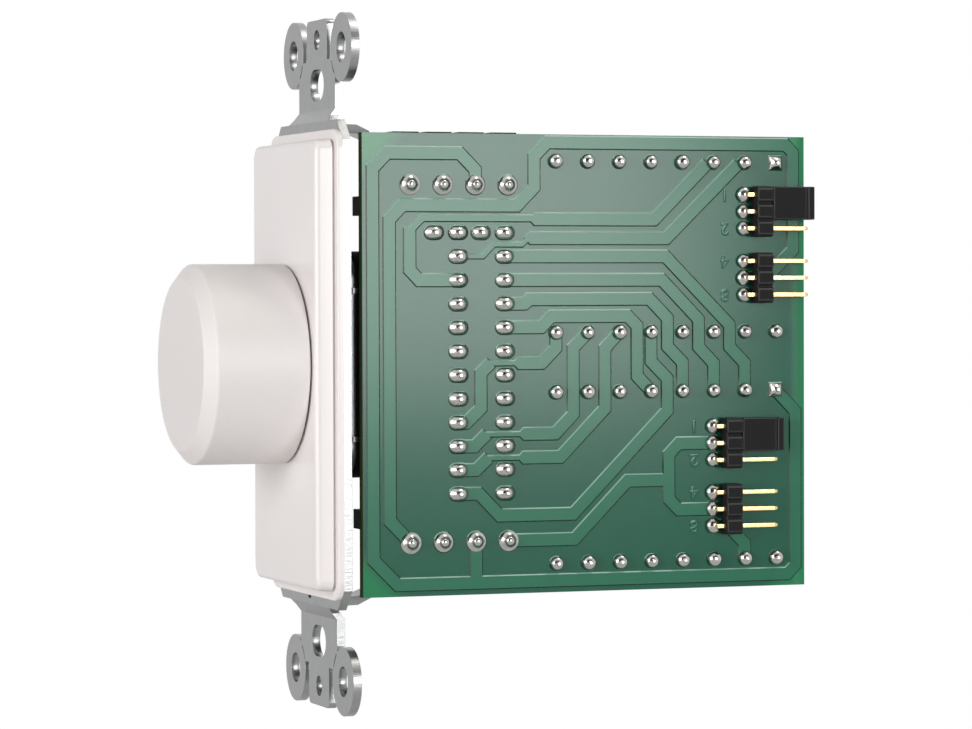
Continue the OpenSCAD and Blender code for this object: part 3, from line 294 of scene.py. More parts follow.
@dataclass(frozen=True)
class BoardFinish(Finish):
    """Glass cloth in resin under green lacquer, with a painted glow of light through the board at corners
    and rear, dark on sawn edges.
    """

    # Painted glow of light through the board: a brighter green at its corners and rear edge
    painted_glow: str = "#157c4e"
    rear_mm: float = 2.6
    rear_rough: float = 0.4
    corner_mm: Point = (3.0, 8.0)
    sawn: str = "#26300f"
    sawn_rough: float = 0.95
    sawn_below: float = 0.5
    thread_mm: float = 0.55
    thread_waver: float = 0.6

    def rear_share(self, tree: Tree, place: Socket) -> Socket:
        """Finds the rear edge, where a glow of light through the board is painted and the surface is
        rougher.

        Args:
            tree: Tree of the material.
            place: Object coordinates in metres.

        Returns:
            1 at the rear edge, falling to 0 inside.
        """
        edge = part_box("circuit_board")[1].y
        parts = add_node(tree, "ShaderNodeSeparateXYZ", {0: place})
        rear = add_node(tree, "ShaderNodeMapRange", {
            "Value": parts.outputs[1], "From Min": edge - self.rear_mm * MM, "From Max": edge},
            interpolation_type="SMOOTHSTEP")
        return rear.outputs["Result"]

    def painted_glow_share(self, tree: Tree, place: Socket) -> Socket:
        """Finds where a glow of light through the board is painted.

        Args:
            tree: Tree of the material.
            place: Object coordinates in metres.

        Returns:
            1 at the corners and the rear edge, falling to 0 inside.
        """
        low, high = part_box("circuit_board")
        centred = add_node(tree, "ShaderNodeVectorMath", {0: place, 1: (low + high) / 2},
                           operation="SUBTRACT")
        reach = add_node(tree, "ShaderNodeVectorMath", {0: centred.outputs[0]}, operation="ABSOLUTE")
        inset = add_node(tree, "ShaderNodeVectorMath", {0: (high - low) / 2, 1: reach.outputs[0]},
                         operation="SUBTRACT")
        # Both insets together are small only at a corner
        total = add_node(tree, "ShaderNodeVectorMath", {0: inset.outputs[0], 1: (0, 1, 1)},
                         operation="DOT_PRODUCT")
        near, far = self.corner_mm
        corner = add_node(tree, "ShaderNodeMapRange", {
            "Value": total.outputs["Value"], "From Min": near * MM, "From Max": far * MM,
            "To Min": 1.0, "To Max": 0.0}, interpolation_type="SMOOTHSTEP")
        both = add_node(tree, "ShaderNodeMath", {
            0: corner.outputs["Result"], 1: self.rear_share(tree, place)}, operation="MAXIMUM")
        return both.outputs[0]

    def sawn_share(self, tree: Tree) -> Socket:
        """Finds the sawn edges.

        Args:
            tree: Tree of the material.

        Returns:
            1 on the edges of the board and 0 on its two faces.
        """
        normal = add_node(tree, "ShaderNodeNewGeometry").outputs["Normal"]
        facing = add_node(tree, "ShaderNodeVectorMath", {0: normal}, operation="ABSOLUTE")
        across = add_node(tree, "ShaderNodeSeparateXYZ", {0: facing.outputs[0]})
        edges = add_node(tree, "ShaderNodeMath", {0: across.outputs[0], 1: self.sawn_below},
                         operation="LESS_THAN")
        return edges.outputs[0]

    def colouring(self, tree: Tree, place: Socket) -> Socket:
        """Paints a glow of light through the board at the corners and rear edge, and turns the sawn edges
        dark olive.

        Args:
            tree: Tree of the material.
            place: Object coordinates in metres.

        Returns:
            The colour all over the surface.
        """
        # Painted glow: brighter green where light would pass through the board's corners and rear edge
        glowing = add_node(tree, "ShaderNodeMix", {
            0: self.painted_glow_share(tree, place), 6: super().colouring(tree, place), 7: linear(self.painted_glow)},
            data_type="RGBA")
        finished = add_node(tree, "ShaderNodeMix", {
            0: self.sawn_share(tree), 6: glowing.outputs[2], 7: linear(self.sawn)}, data_type="RGBA")
        return finished.outputs[2]

    def sheen(self, tree: Tree, place: Socket, height: Socket) -> Socket:
        """Takes the sheen off the rear edge and the sawn edges.

        Args:
            tree: Tree of the material.
            place: Object coordinates in metres.
            height: Height of the surface, 0 to 1.

        Returns:
            The roughness all over the surface.
        """
        rough = add_node(tree, "ShaderNodeMath", {
            0: self.rear_share(tree, place), 1: self.rear_rough,
            2: super().sheen(tree, place, height)}, operation="MULTIPLY_ADD")
        dulled = add_node(tree, "ShaderNodeMix", {
            0: self.sawn_share(tree), 2: rough.outputs[0], 3: self.sawn_rough}, data_type="FLOAT")
        return dulled.outputs[0]

    def relief(self, tree: Tree, place: Socket) -> Socket:
        """Makes the weave of the cloth, drawn a little coarser than it is so that it shows.

        Args:
            tree: Tree of the material.
            place: Object coordinates in metres.

        Returns:
            The height of the surface, 0 to 1.
        """
        waves = [add_node(tree, "ShaderNodeTexWave", {
            "Vector": place, "Scale": WAVE_PERIOD / (self.thread_mm * MM),
            "Distortion": self.thread_waver}, wave_type="BANDS", bands_direction=axis)
            for axis in "YZ"]
        weave = add_node(tree, "ShaderNodeMath", {
            0: waves[0].outputs["Fac"], 1: waves[1].outputs["Fac"]}, operation="MULTIPLY")
        return weave.outputs[0]


# ABS from a smooth mould: an even, slightly warm white with a satin sheen
MOULDED_ABS = Finish("moulded_abs", "moulded_white", "#efe9e8", "#ebe5e3", 0.26, patch_mm=14,
                     grain_mm=0.9, relief_mm=0.0004, spread=0.01)
# The same ABS from a spark-eroded mould, which takes the sheen off the knob
MATT_ABS = Finish("matt_abs", "moulded_white", "#ede7e6", "#e9e3e1", 0.42, patch_mm=14,
                  grain_mm=0.35, relief_mm=0.05)
# Zinc-coated strip steel, pressed: flat grey with a faint rolled spangle
GALVANISED_STEEL = Finish("galvanised_steel", "strap_steel", "#8b8c8c", "#959696", 0.34, metallic=1.0,
                          patch_mm=1.6, grain_mm=0.5, relief_mm=0.004, stretch=(1, 1, 4))
# The same steel where the press has sheared it: torn across and a little brighter
SHEARED_STEEL = Finish("sheared_steel", "strap_steel", "#a3a4a4", "#959696", 0.34, metallic=1.0,
                       patch_mm=0.8, grain_mm=0.25, relief_mm=0.02, stretch=(1, 5, 1), spread=0.08)
# Glass-epoxy board under green lacquer: deep green with a clear, even gloss
LACQUERED_BOARD = BoardFinish("lacquered_glass_epoxy", "board_green", "#135844", "#175e48", 0.15,
                              ior=1.34, patch_mm=6, relief_mm=0.0008, spread=0.02)
# The same lacquer over copper, which shines through it as a lighter green
LACQUERED_COPPER = Finish("lacquered_copper", "masked_copper", "#1f6b50", "#227053", 0.15, ior=1.34,
                          patch_mm=5, grain_mm=0.5, relief_mm=0.0008, spread=0.02)
# The lacquer draws thin and dark over the edge of the copper; on edges that face down, sideways or to the
# rear this dark is partly painted shade
THIN_SHADED_LACQUER = Finish("thin_shaded_lacquer_edge", "masked_copper", "#0a2f21", "#0d3626", 0.26, ior=1.34)
# Painted highlight: edges that face up and not to the rear are made pale, as if lit from above
PAINTED_HIGHLIGHT_LACQUER = Finish("painted_highlight_lacquer_edge", "masked_copper", "#82a99a", "#8cb2a4", 0.24, ior=1.34)
# Tin solder set from a wave: bright, with dull frozen wrinkles
TIN_SOLDER = Finish("tin_solder", "solder", "#c9c8c4", "#a3a19c", 0.2, metallic=1.0, patch_mm=0.7,
                    grain_mm=0.45, relief_mm=0.03, spread=0.1)
# Flash gold over nickel on drawn pins: pale gold with faint lines along the pin
GOLD_FLASH = Finish("gold_flash", "gold_plate", "#e9cf97", "#e2c384", 0.26, metallic=1.0, patch_mm=2,
                    grain_mm=0.3, relief_mm=0.001, stretch=(1, 6, 1))
# Glass-filled black polyester of headers, jumpers and terminal blocks: dull black
BLACK_POLYESTER = Finish("black_polyester", "black_moulding", "#0b0b0c", "#101011", 0.75, ior=1.36,
                         grain_mm=0.3, relief_mm=0.006)
# Rounded edges of the same mouldings, which the mould leaves smoother
POLYESTER_EDGE = Finish("black_polyester_edge", "black_moulding", "#0f0f10", "#141415", 0.45,
                        relief_mm=0.001)
# Bright zinc on pressed steel plates and small hardware: cool, light grey
ZINC_PLATE = Finish("zinc_plate", "plated_steel", "#b4b6b8", "#9fa2a5", 0.3, metallic=1.0, patch_mm=3)
# Turned zinc casting of the bushing: light grey with fine rings
CAST_ZINC = BandedFinish("cast_zinc", "die_cast_zinc", "#b8b7b4", "#a5a4a1", 0.34, metallic=1.0,
                         relief_mm=0.12, pitch_mm=0.8, along="Y")
# Paper laminate of the switch wafers: brown, with its layers on the edges
PAPER_LAMINATE = BandedFinish("paper_laminate", "brown_laminate", "#5a3519", "#4b2b14", 0.5,
                              relief_mm=0.008, pitch_mm=0.4, along="Y")
# Natural nylon of rotors and bobbins: a soft cream
NATURAL_NYLON = Finish("natural_nylon", "pale_moulding", "#dcd5c2", "#d3cab3", 0.45, patch_mm=6)
# Rolled spring brass: yellow, with faint lines of rolling
SPRING_BRASS = Finish("spring_brass", "contact_brass", "#c9a24c", "#b98f3f", 0.3, metallic=1.0,
                      patch_mm=2, grain_mm=0.2, stretch=(1, 4, 1))
# Tinned wire and stamped leads: a soft, warm grey
TINNED_WIRE = Finish("tinned_wire", "tinned_lead", "#c6c5c1", "#b3b2ae", 0.28, metallic=1.0,
                     patch_mm=1.5)
# Varnished silicon steel of the transformer plates: dark, bluish grey
SILICON_STEEL = Finish("silicon_steel", "core_steel", "#565a5f", "#44474b", 0.42, metallic=1.0,
                       patch_mm=2.5, grain_mm=0.5, relief_mm=0.01)
# Enamelled copper wire, wound: reddish brown in fine turns
WOUND_WIRE = BandedFinish("enamelled_copper_wire", "copper_wire", "#9a4f22", "#8a431b", 0.3,
                          metallic=1.0, relief_mm=0.1, pitch_mm=0.5, along="Z")
# Yellow polyester tape round the winding: smooth, with long shallow ripples
POLYESTER_TAPE = Finish("polyester_tape", "yellow_tape", "#d9b64a", "#d0a93c", 0.3, patch_mm=7,
                        grain_mm=1.2, relief_mm=0.03, stretch=(4, 4, 1))
# Zinc-plated terminal screws: bright grey
SCREW_ZINC = Finish("screw_zinc", "screw_zinc", "#bcbdbd", "#a9abac", 0.26, metallic=1.0,
                    patch_mm=1.2)

TRACK_FINISHES = [LACQUERED_COPPER, THIN_SHADED_LACQUER, PAINTED_HIGHLIGHT_LACQUER]
BLACK_FINISHES = [BLACK_POLYESTER, POLYESTER_EDGE]


# Mesh helpers


def new_object(name: str, data: bpy.types.ID) -> Piece:
    """Adds an object to the scene.

    Args:
        name: Name of the object.
        data: Its mesh, text, lamp or camera.

    Returns:
        The linked object.
    """
    added = bpy.data.objects.new(name, data)
    bpy.context.scene.collection.objects.link(added)
    return added


def mesh_from(name: str, shape: Shape) -> Mesh:
    """Turns a shape into a mesh.

    Args:
        name: Name of the mesh.
        shape: Geometry in metres, freed here.

    Returns:
        The mesh.
    """
    mesh = bpy.data.meshes.new(name)
    shape.to_mesh(mesh)
    shape.free()
    return mesh


def evaluated_mesh(holder: Piece) -> Mesh:
    """Makes a plain mesh of what a text or a modifier gives."""
    graph = bpy.context.evaluated_depsgraph_get()
    return bpy.data.meshes.new_from_object(holder.evaluated_get(graph))


def piece_from(name: str, shape: Shape, finishes: Sequence[Finish], smooth_deg: float = 35.0) -> Piece:
    """Turns a shape into an object at the origin.

    Args:
        name: Name of the piece.
        shape: Geometry in metres, freed here.
        finishes: Finish of each material number on its faces.
        smooth_deg: Edges sharper than this stay sharp.

    Returns:
        The linked object.
    """
    mesh = mesh_from(name, shape)
    for finish in finishes:
        mesh.materials.append(finish.material())
    mesh.shade_smooth()
    mesh.set_sharp_from_angle(angle=math.radians(smooth_deg))
    piece = new_object(name, mesh)
    # Large faces stay flat beside their rounded edges
    piece.modifiers.new("flat_faces", "WEIGHTED_NORMAL").keep_sharp = True
    return piece


def settle(piece: Piece, body: Body, finish: Finish, *nodes: str) -> None:
    """Rides a finished piece on its body and lets it stand for its solids.

    Args:
        piece: Object to settle.
        body: Body that carries it.
        finish: Not used.
        nodes: Solids that it stands for.
    """
    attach(piece, body.value)
    if nodes:
        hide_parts(*nodes)
    LOG.info("piece %s: %d faces on %s", piece.name, len(piece.data.polygons), body.value)


def paint(nodes: Iterable[str], finish: Finish) -> None:
    """Gives solids that keep their shape a finish.

    Args:
        nodes: Solids to paint.
        finish: Finish that they all take.
    """
    for node in nodes:
        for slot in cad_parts[node].material_slots:
            slot.material = finish.material()
        LOG.info("solid %s: %s", node, finish.name)


def weld(shape: Shape, gap_mm: float) -> None:
    """Joins points of a shape that lie closer than a gap."""
    bmesh.ops.remove_doubles(shape, verts=shape.verts, dist=gap_mm * MM)


def solid_copy(node: str) -> Shape:
    """Copies a solid's mesh with its loose triangles joined into flat faces.

    Args:
        node: Solid to copy.

    Returns:
        The copy, in metres.
    """
    shape = bmesh.new()
    shape.from_mesh(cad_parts[node].data)
    weld(shape, SOLID_WELD)
    bmesh.ops.dissolve_limit(shape, angle_limit=math.radians(FLAT_DEG), verts=shape.verts,
                             edges=shape.edges)
    return shape


def soften(shape: Shape, width_mm: float, segments: int = 2, angle_deg: float = 30.0,
           wanted: Callable[[bmesh.types.BMEdge], bool] | None = None, finish: int = -1) -> Shape:
    """Rounds the edges of a shape, as a mould, a press or a lacquer leaves them.

    Args:
        shape: Shape to change.
        width_mm: Width of the rounding.
        segments: Faces across the rounding.
        angle_deg: Edges flatter than this stay as they are.
        wanted: Further test of an edge.
        finish: Material number of the rounding, or -1 for that of the faces beside it.

    Returns:
        The same shape.
    """
    sharp = [edge for edge in shape.edges
             if len(edge.link_faces) == 2 and edge.calc_face_angle(0) > math.radians(angle_deg)
             and (wanted is None or wanted(edge))]
    bmesh.ops.bevel(shape, geom=sharp, offset=width_mm * MM, offset_type="OFFSET", segments=segments,
                    profile=0.5, affect="EDGES", clamp_overlap=True, material=finish)
    return shape


def rounded_piece(name: str, node: str, body: Body, finishes: Sequence[Finish], width_mm: float,
                  **rounding: Any) -> None:
    """Rounds the edges of a solid and settles the result in its place.

    Args:
        name: Name of the piece.
        node: Solid that it stands for.
        body: Body that carries it.
        finishes: Finish of the faces and, where it differs, of the rounded edges.
        width_mm: Width of the rounding.
        rounding: Further choices for the rounding.
    """
    edge_finish = 1 if len(finishes) > 1 else -1
    shape = soften(solid_copy(node), width_mm, finish=edge_finish, **rounding)
    settle(piece_from(name, shape, finishes), body, finishes[0], node)


def bridge(shape: Shape, rows: Sequence[Sequence[bmesh.types.BMVert]]) -> None:
    """Joins closed rows of points with faces, and the last row to the first.

    Args:
        shape: Shape that takes the faces.
        rows: Rows of equal count.
    """
    count = len(rows[0])
    for k, row in enumerate(rows):
        after = rows[(k + 1) % len(rows)]
        for j in range(count):
            shape.faces.new((row[j], row[(j + 1) % count], after[(j + 1) % count], after[j]))


def lathe_y(profile: Sequence[Point], turns: int, centre: Point = (0.0, 0.0),
            shape: Shape | None = None) -> Shape:
    """Turns a closed profile about an axis along Y.

    Args:
        profile: Radius and Y in millimetres, round the section.
        turns: Faces round the axis.
        centre: X and Z of the axis in millimetres.
        shape: Shape that takes the ring, or None for a new one.

    Returns:
        The shape with the ring added.
    """
    shape = shape or bmesh.new()
    rings = []
    for k in range(turns):
        angle = 2 * math.pi * k / turns
        rings.append([shape.verts.new(Vector((centre[0] + r * math.cos(angle), y,
                                              centre[1] + r * math.sin(angle))) * MM)
                      for r, y in profile])
    bridge(shape, rings)
    weld(shape, LATHE_WELD)
    bmesh.ops.recalc_face_normals(shape, faces=shape.faces)
    return shape


def filleted(corners: Sequence[Place], steps: int = 5) -> list[Point]:
    """Rounds the corners of a closed outline.

    Args:
        corners: Each corner with the radius of its rounding.
        steps: Points on a rounding, less one.

    Returns:
        The rounded outline.
    """
    outline: list[Point] = []
    for k, (x, y, radius) in enumerate(corners):
        here = Vector((x, y))
        before = (Vector(corners[k - 1][:2]) - here).normalized()
        after = (Vector(corners[(k + 1) % len(corners)][:2]) - here).normalized()
        if radius <= 0:
            outline.append((x, y))
            continue
        half = before.angle(after) / 2
        reach = radius / math.tan(half)
        middle = here + (before + after).normalized() * (radius / math.sin(half))
        start, end = here + before * reach - middle, here + after * reach - middle
        turn = start.angle_signed(end)
        for s in range(steps + 1):
            arm = start.copy()
            arm.rotate(Matrix.Rotation(-turn * s / steps, 2))
            outline.append(tuple(middle + arm))
    return outline


def rounded_loop(width: float, height: float, radius: float, per_corner: int) -> list[Point]:
    """Draws a rounded rectangle about the origin.

    Args:
        width: Size along the first axis.
        height: Size along the second axis.
        radius: Radius of the corners.
        per_corner: Points on a corner, less one.

    Returns:
        Its points, the same count for any size.
    """
    loop: list[Point] = []
    for quarter, (sx, sz) in enumerate(((1, 1), (-1, 1), (-1, -1), (1, -1))):
        for k in range(per_corner + 1):
            angle = math.pi / 2 * (quarter + k / per_corner)
            loop.append((sx * (width / 2 - radius) + radius * math.cos(angle),
                         sz * (height / 2 - radius) + radius * math.sin(angle)))
    return loop


def quarter_round(steps: int) -> list[Point]:
    """Follows a rounding of radius 1 from the side of a block to its face.

    Args:
        steps: Faces across the rounding.

    Returns:
        Distance to the face and inset from the side at each step.
    """
    turns = [math.pi / 2 * k / steps for k in range(steps + 1)]
    return [(1 - math.sin(turn), 1 - math.cos(turn)) for turn in turns]


def skin(loops: Sequence[Loop]) -> Shape:
    """Skins loops of equal count and joins the last to the first.

    Args:
        loops: Y of each loop and its X and Z points, in millimetres.

    Returns:
        The closed shape, in metres.
    """
    shape = bmesh.new()
    bridge(shape, [[shape.verts.new(Vector((x, y, z)) * MM) for x, z in loop] for y, loop in loops])
    bmesh.ops.recalc_face_normals(shape, faces=shape.faces)
    return shape


def lead_ends(node: str, end: LeadEnd) -> list[Point]:
    """Finds where the leads of a solid meet the board.

    Args:
        node: Solid with one or more leads.
        end: End of a lead that is soldered.

    Returns:
        Y and Z of each lead in metres, top row first.
    """
    shape = solid_copy(node)
    left = set(shape.verts)
    places: list[Point] = []
    while left:
        group, edge_of_group = set(), [left.pop()]
        while edge_of_group:
            vert = edge_of_group.pop()
            group.add(vert)
            fresh = {e.other_vert(vert) for e in vert.link_edges} & left
            left -= fresh
            edge_of_group.extend(fresh)
        tip = max(v.co.x * end.value for v in group)
        face = [v.co for v in group if v.co.x * end.value > tip - LEAD_END * MM]
        places.append((sum(p.y for p in face) / len(face), sum(p.z for p in face) / len(face)))
    shape.free()
    return sorted(places, key=lambda p: (-round(p[1], ROW_DECIMALS), p[0]))


def plain_mesh(name: str, base: Mesh, tree: Tree, values: dict[str, Any]) -> Mesh:
    """Runs a geometry tree on a mesh and keeps the result as a plain mesh.

    Args:
        name: Name of the result.
        base: Mesh that the tree starts from.
        tree: Geometry tree.
        values: Value of each named input.

    Returns:
        The made mesh.
    """
    holder = new_object(name + "_holder", base)
    modifier = holder.modifiers.new("tree", "NODES")
    modifier.node_group = tree
    for item in tree.interface.items_tree:
        if item.item_type == "SOCKET" and item.in_out == "INPUT" and item.name in values:
            modifier[item.identifier] = values[item.name]
    mesh = evaluated_mesh(holder)
    mesh.name = name
    holder.modifiers.remove(modifier)
    bpy.data.objects.remove(holder)
    return mesh


def new_tree(name: str, inputs: dict[str, str]) -> tuple[Tree, bpy.types.Node, bpy.types.Node]:
    """Starts a geometry tree.

    Args:
        name: Name of the tree.
        inputs: Name and socket type of each input after the geometry.

    Returns:
        The tree, its input node and its output node.
    """
    tree = bpy.data.node_groups.new(name, "GeometryNodeTree")
    tree.interface.new_socket("Geometry", in_out="INPUT", socket_type="NodeSocketGeometry")
    for label, kind in inputs.items():
        tree.interface.new_socket(label, in_out="INPUT", socket_type=kind)
    tree.interface.new_socket("Geometry", in_out="OUTPUT", socket_type="NodeSocketGeometry")
    return tree, add_node(tree, "NodeGroupInput"), add_node(tree, "NodeGroupOutput")


def close_tree(tree: Tree, leave: bpy.types.Node, instances: Socket, material: Socket) -> None:
    """Makes the instances of a geometry tree real, dresses them and hands them out.

    Args:
        tree: Geometry tree.
        leave: Its output node.
        instances: The instances.
        material: Material that they take.
    """
    real = add_node(tree, "GeometryNodeRealizeInstances", {0: instances})
    dressed = add_node(tree, "GeometryNodeSetMaterial", {
        "Geometry": real.outputs[0], "Material": material})
    tree.links.new(dressed.outputs[0], leave.inputs[0])


# Sub-assemblies


@dataclass
class FrontPlate:
    """The pressed strap and the moulded insert that is staked to it, in millimetres.

    The foot and head of the groove are shares of its depth. The shoulder and top of a peg are shares
    of its head.
    """

    strap_edge: float = 0.16
    strap_t: float = 1.3
    sheared_below: float = 0.3
    flange_t: float = 0.9
    flange_corner: float = 3.0
    flange_edge: float = 0.3
    flange_steps: int = 3
    block_w: float = 32.4
    block_h: float = 66.2
    block_corner: float = 1.6
    block_edge: float = 0.9
    block_steps: int = 6
    block_draft: float = 0.12
    groove: float = 0.35
    groove_foot: float = 0.3
    groove_head: float = 0.8
    groove_lip: float = 0.1
    wall: float = 1.6
    hole_d: float = 17.0
    peg_d: float = 2.4
    peg_head_d: float = 4.0
    peg_head_t: float = 0.9
    peg_shoulder: Point = (0.9, 0.35)
    peg_top: float = 0.6
    peg_boss_d: float = 5.0
    peg_pitch: Point = (24.0, 50.0)
    peg_sides: int = 24
    per_corner: int = 8

    def build(self) -> None:
        """Makes and settles both pieces."""
        settle(self.strap(), Body.CHASSIS, GALVANISED_STEEL, "mounting_strap")
        settle(self.insert(), Body.CHASSIS, MOULDED_ABS, "front_insert")

    def strap(self) -> Piece:
        """Makes the strap with rounded edges and sheared sides, as the press leaves them.

        Returns:
            The strap.
        """
        shape = soften(solid_copy("mounting_strap"), self.strap_edge)
        for face in shape.faces:
            face.material_index = int(abs(face.normal.y) < self.sheared_below)
        return piece_from("strap", shape, [GALVANISED_STEEL, SHEARED_STEEL])

    def insert(self) -> Piece:
        """Makes the hollow insert with its flange, groove, crowned block and staked pegs.

        Returns:
            The insert.
        """
        low, high = (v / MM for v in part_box("front_insert"))
        rear = high.y - self.peg_head_t - self.strap_t
        shape = skin(self.section(low.y, rear, (high.x - low.x, high.z - low.z)))
        for sx in (-1, 1):
            for sz in (-1, 1):
                centre = sx * self.peg_pitch[0] / 2, sz * self.peg_pitch[1] / 2
                self.peg(shape, centre, rear, (low.y + self.wall, high.y))
        return piece_from("insert", shape, [MOULDED_ABS])

    def loop(self, y: float, size: Point, inset: float, corner: float) -> Loop:
        """Makes one loop of the insert's skin.

        Args:
            y: Place of the loop.
            size: Width and height before the inset.
            inset: Distance that the loop is drawn in all round.
            corner: Radius of its corners.

        Returns:
            The loop with its place.
        """
        return y, rounded_loop(size[0] - 2 * inset, size[1] - 2 * inset, corner, self.per_corner)

    def section(self, front: float, rear: float, flange: Point) -> list[Loop]:
        """Lists the loops of the insert, from the flange's rear over the front and back inside.

        Args:
            front: Y of the block's face.
            rear: Y of the flange's rear.
            flange: Width and height of the flange.

        Returns:
            The loops in order.
        """
        block, level = (self.block_w, self.block_h), rear - self.flange_t
        rows = [self.loop(rear, flange, 0, self.flange_corner)]
        for depth, inset in quarter_round(self.flange_steps):
            rows.append(self.loop(level + self.flange_edge * depth, flange, self.flange_edge * inset,
                                  self.flange_corner))
        deep, foot, lip = self.groove, self.groove * self.groove_foot, self.groove_lip
        for drop, inset in ((0, foot), (foot, deep), (deep * self.groove_head, deep), (deep, lip),
                            (deep + lip, 0)):
            rows.append(self.loop(level - drop, block, inset, self.block_corner))
        for depth, inset in quarter_round(self.block_steps):
            rows.append(self.loop(front + self.block_edge * depth, block,
                                  self.block_draft + self.block_edge * inset, self.block_corner))
        ring = [(self.hole_d / 2 * math.cos(a), self.hole_d / 2 * math.sin(a)) for a in self.angles()]
        return rows + [(front, ring), (front + self.wall, ring),
                       self.loop(front + self.wall, block, self.wall, self.block_corner),
                       self.loop(rear, block, self.wall, self.block_corner)]

    def angles(self) -> list[float]:
        """Returns the angles of a circle's points, matched to those of a rounded rectangle."""
        return [math.pi / 2 * (quarter + k / self.per_corner)
                for quarter in range(4) for k in range(self.per_corner + 1)]

    def peg(self, shape: Shape, centre: Point, rear: float, ends: Point) -> None:
        """Adds a peg with its boss and its staked head.

        Args:
            shape: Shape that takes the peg.
            centre: X and Z of the peg.
            rear: Y where the boss ends.
            ends: Y where the boss starts and where the head ends.
        """
        boss, peg, head = self.peg_boss_d / 2, self.peg_d / 2, self.peg_head_d / 2
        root, top = ends
        foot = top - self.peg_head_t
        shoulder = head * self.peg_shoulder[0], top - self.peg_head_t * self.peg_shoulder[1]
        lathe_y([(0, root), (boss, root), (boss, rear), (peg, rear), (peg, foot), (head, foot), shoulder,
                 (head * self.peg_top, top), (0, top)], self.peg_sides, centre, shape)


@dataclass
class Dial:
    """The moulded knob, in millimetres: a bevelled cap with a hub round the shaft."""

    bevel_l: float = 1.7
    bevel_w: float = 2.1
    edge_r: float = 0.7
    lip_r: float = 0.35
    wall: float = 2.0
    roof_r: float = 0.5
    hub_d: float = 11.0
    hub_foot_r: float = 0.3
    hub_end_r: float = 0.2
    clip_gap: float = 0.05
    turns: int = 144

    def build(self) -> None:
        """Makes and settles the knob and paints the pieces that turn inside."""
        low, high = (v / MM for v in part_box("knob"))
        shaft_low, clip_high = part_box("shaft")[0] / MM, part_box("knob_clip")[1] / MM
        radius, face, base, hub = high.x, low.y, high.y, self.hub_d / 2
        bore = math.hypot(clip_high.x, clip_high.z) + self.clip_gap
        inner = face + self.wall
        section = [
            (0, face, 0), (radius - self.bevel_w, face, self.edge_r),
            (radius, face + self.bevel_l, self.edge_r), (radius, base, self.lip_r),
            (radius - self.wall, base, self.lip_r),
            (radius - self.wall - self.bevel_w, inner, self.roof_r), (hub, inner, self.hub_foot_r),
            (hub, clip_high.y, self.hub_end_r), (bore, clip_high.y, 0), (bore, shaft_low.y, 0),
            (0, shaft_low.y, 0),
        ]
        shape = lathe_y(filleted(section), self.turns)
        settle(piece_from("knob_cap", shape, [MATT_ABS]), Body.DIAL, MATT_ABS, "knob")
        paint(["knob_clip", "shaft", "shaft_ring"], ZINC_PLATE)
        paint(["detent_wheel", "front_rotor", "rear_rotor"], NATURAL_NYLON)
        paint(["wiper_springs"], SPRING_BRASS)


@dataclass
class SwitchStack:
    """The rotary switch behind the strap, in millimetres."""

    edge: float = 0.25

    def build(self) -> None:
        """Rounds the housing, which shows beside the board, and paints the rest."""
        rounded_piece("switch_housing", "detent_housing", Body.CHASSIS, [BLACK_POLYESTER], self.edge)
        paint(["bushing_nut", "lock_washer", "switch_front_plate", "switch_rear_plate", "detent_balls",
               "detent_springs"], ZINC_PLATE)
        paint(["switch_bushing"], CAST_ZINC)
        paint(["front_wafer", "rear_wafer"], PAPER_LAMINATE)
        paint(["fixed_contacts"], SPRING_BRASS)
        paint(["switch_pins"], TINNED_WIRE)


@dataclass(frozen=True)
class Joint:
    """Solder round the leads of one solid, in millimetres.

    The section runs from the foot to the tip: a swell above 1 fills it out and a flare above 1
    hollows it. The tip is rounded over, by a share of its radius. A long joint is drawn apart by
    half_l to each side of its waist, whose width is a share of the foot.
    """

    node: str
    end: LeadEnd
    foot_r: float
    tip_r: float
    rise: float
    swell: float
    flare: float
    half_l: float = 0.0
    square: float = 0.0
    shift: float = 0.0
    turn: float = 0.0
    tip_round: float = 0.35
    tip_power: int = 9
    waist: float = 0.3
    sides: int = 24
    rows: int = 10

    def mesh(self, height: float) -> Mesh:
        """Makes one joint at the origin, standing along X.

        Args:
            height: Height of the solder in millimetres, of which the joint takes its share.

        Returns:
            The mesh in metres.
        """
        top = height * self.rise
        section = [(0.0, 0.0)]
        for k in range(self.rows + 1):
            t = k / self.rows
            radius = self.tip_r + (self.foot_r - self.tip_r) * (1 - t ** self.swell) ** self.flare
            section.append((radius * (1 - self.tip_round * t ** self.tip_power), top * t))
        shape = lathe_y(section + [(0.0, top)], self.sides)
        shape.transform(Matrix.Rotation(math.radians(-90), 4, "Z"))
        for vert in shape.verts:
            _, y, z = vert.co
            # A square foot is wider across its corners
            corner = math.hypot(y, z) / max(abs(y), abs(z), TINY) - 1
            left = 1 - vert.co.x / (top * MM)
            grow = 1 + self.square * max(corner, 0) * left
            side = max(-1.0, min(1.0, y / (self.waist * self.foot_r * MM)))
            vert.co.yz = y * grow + side * self.half_l * MM * left, z * grow
        return mesh_from(self.node + "_joint", shape)


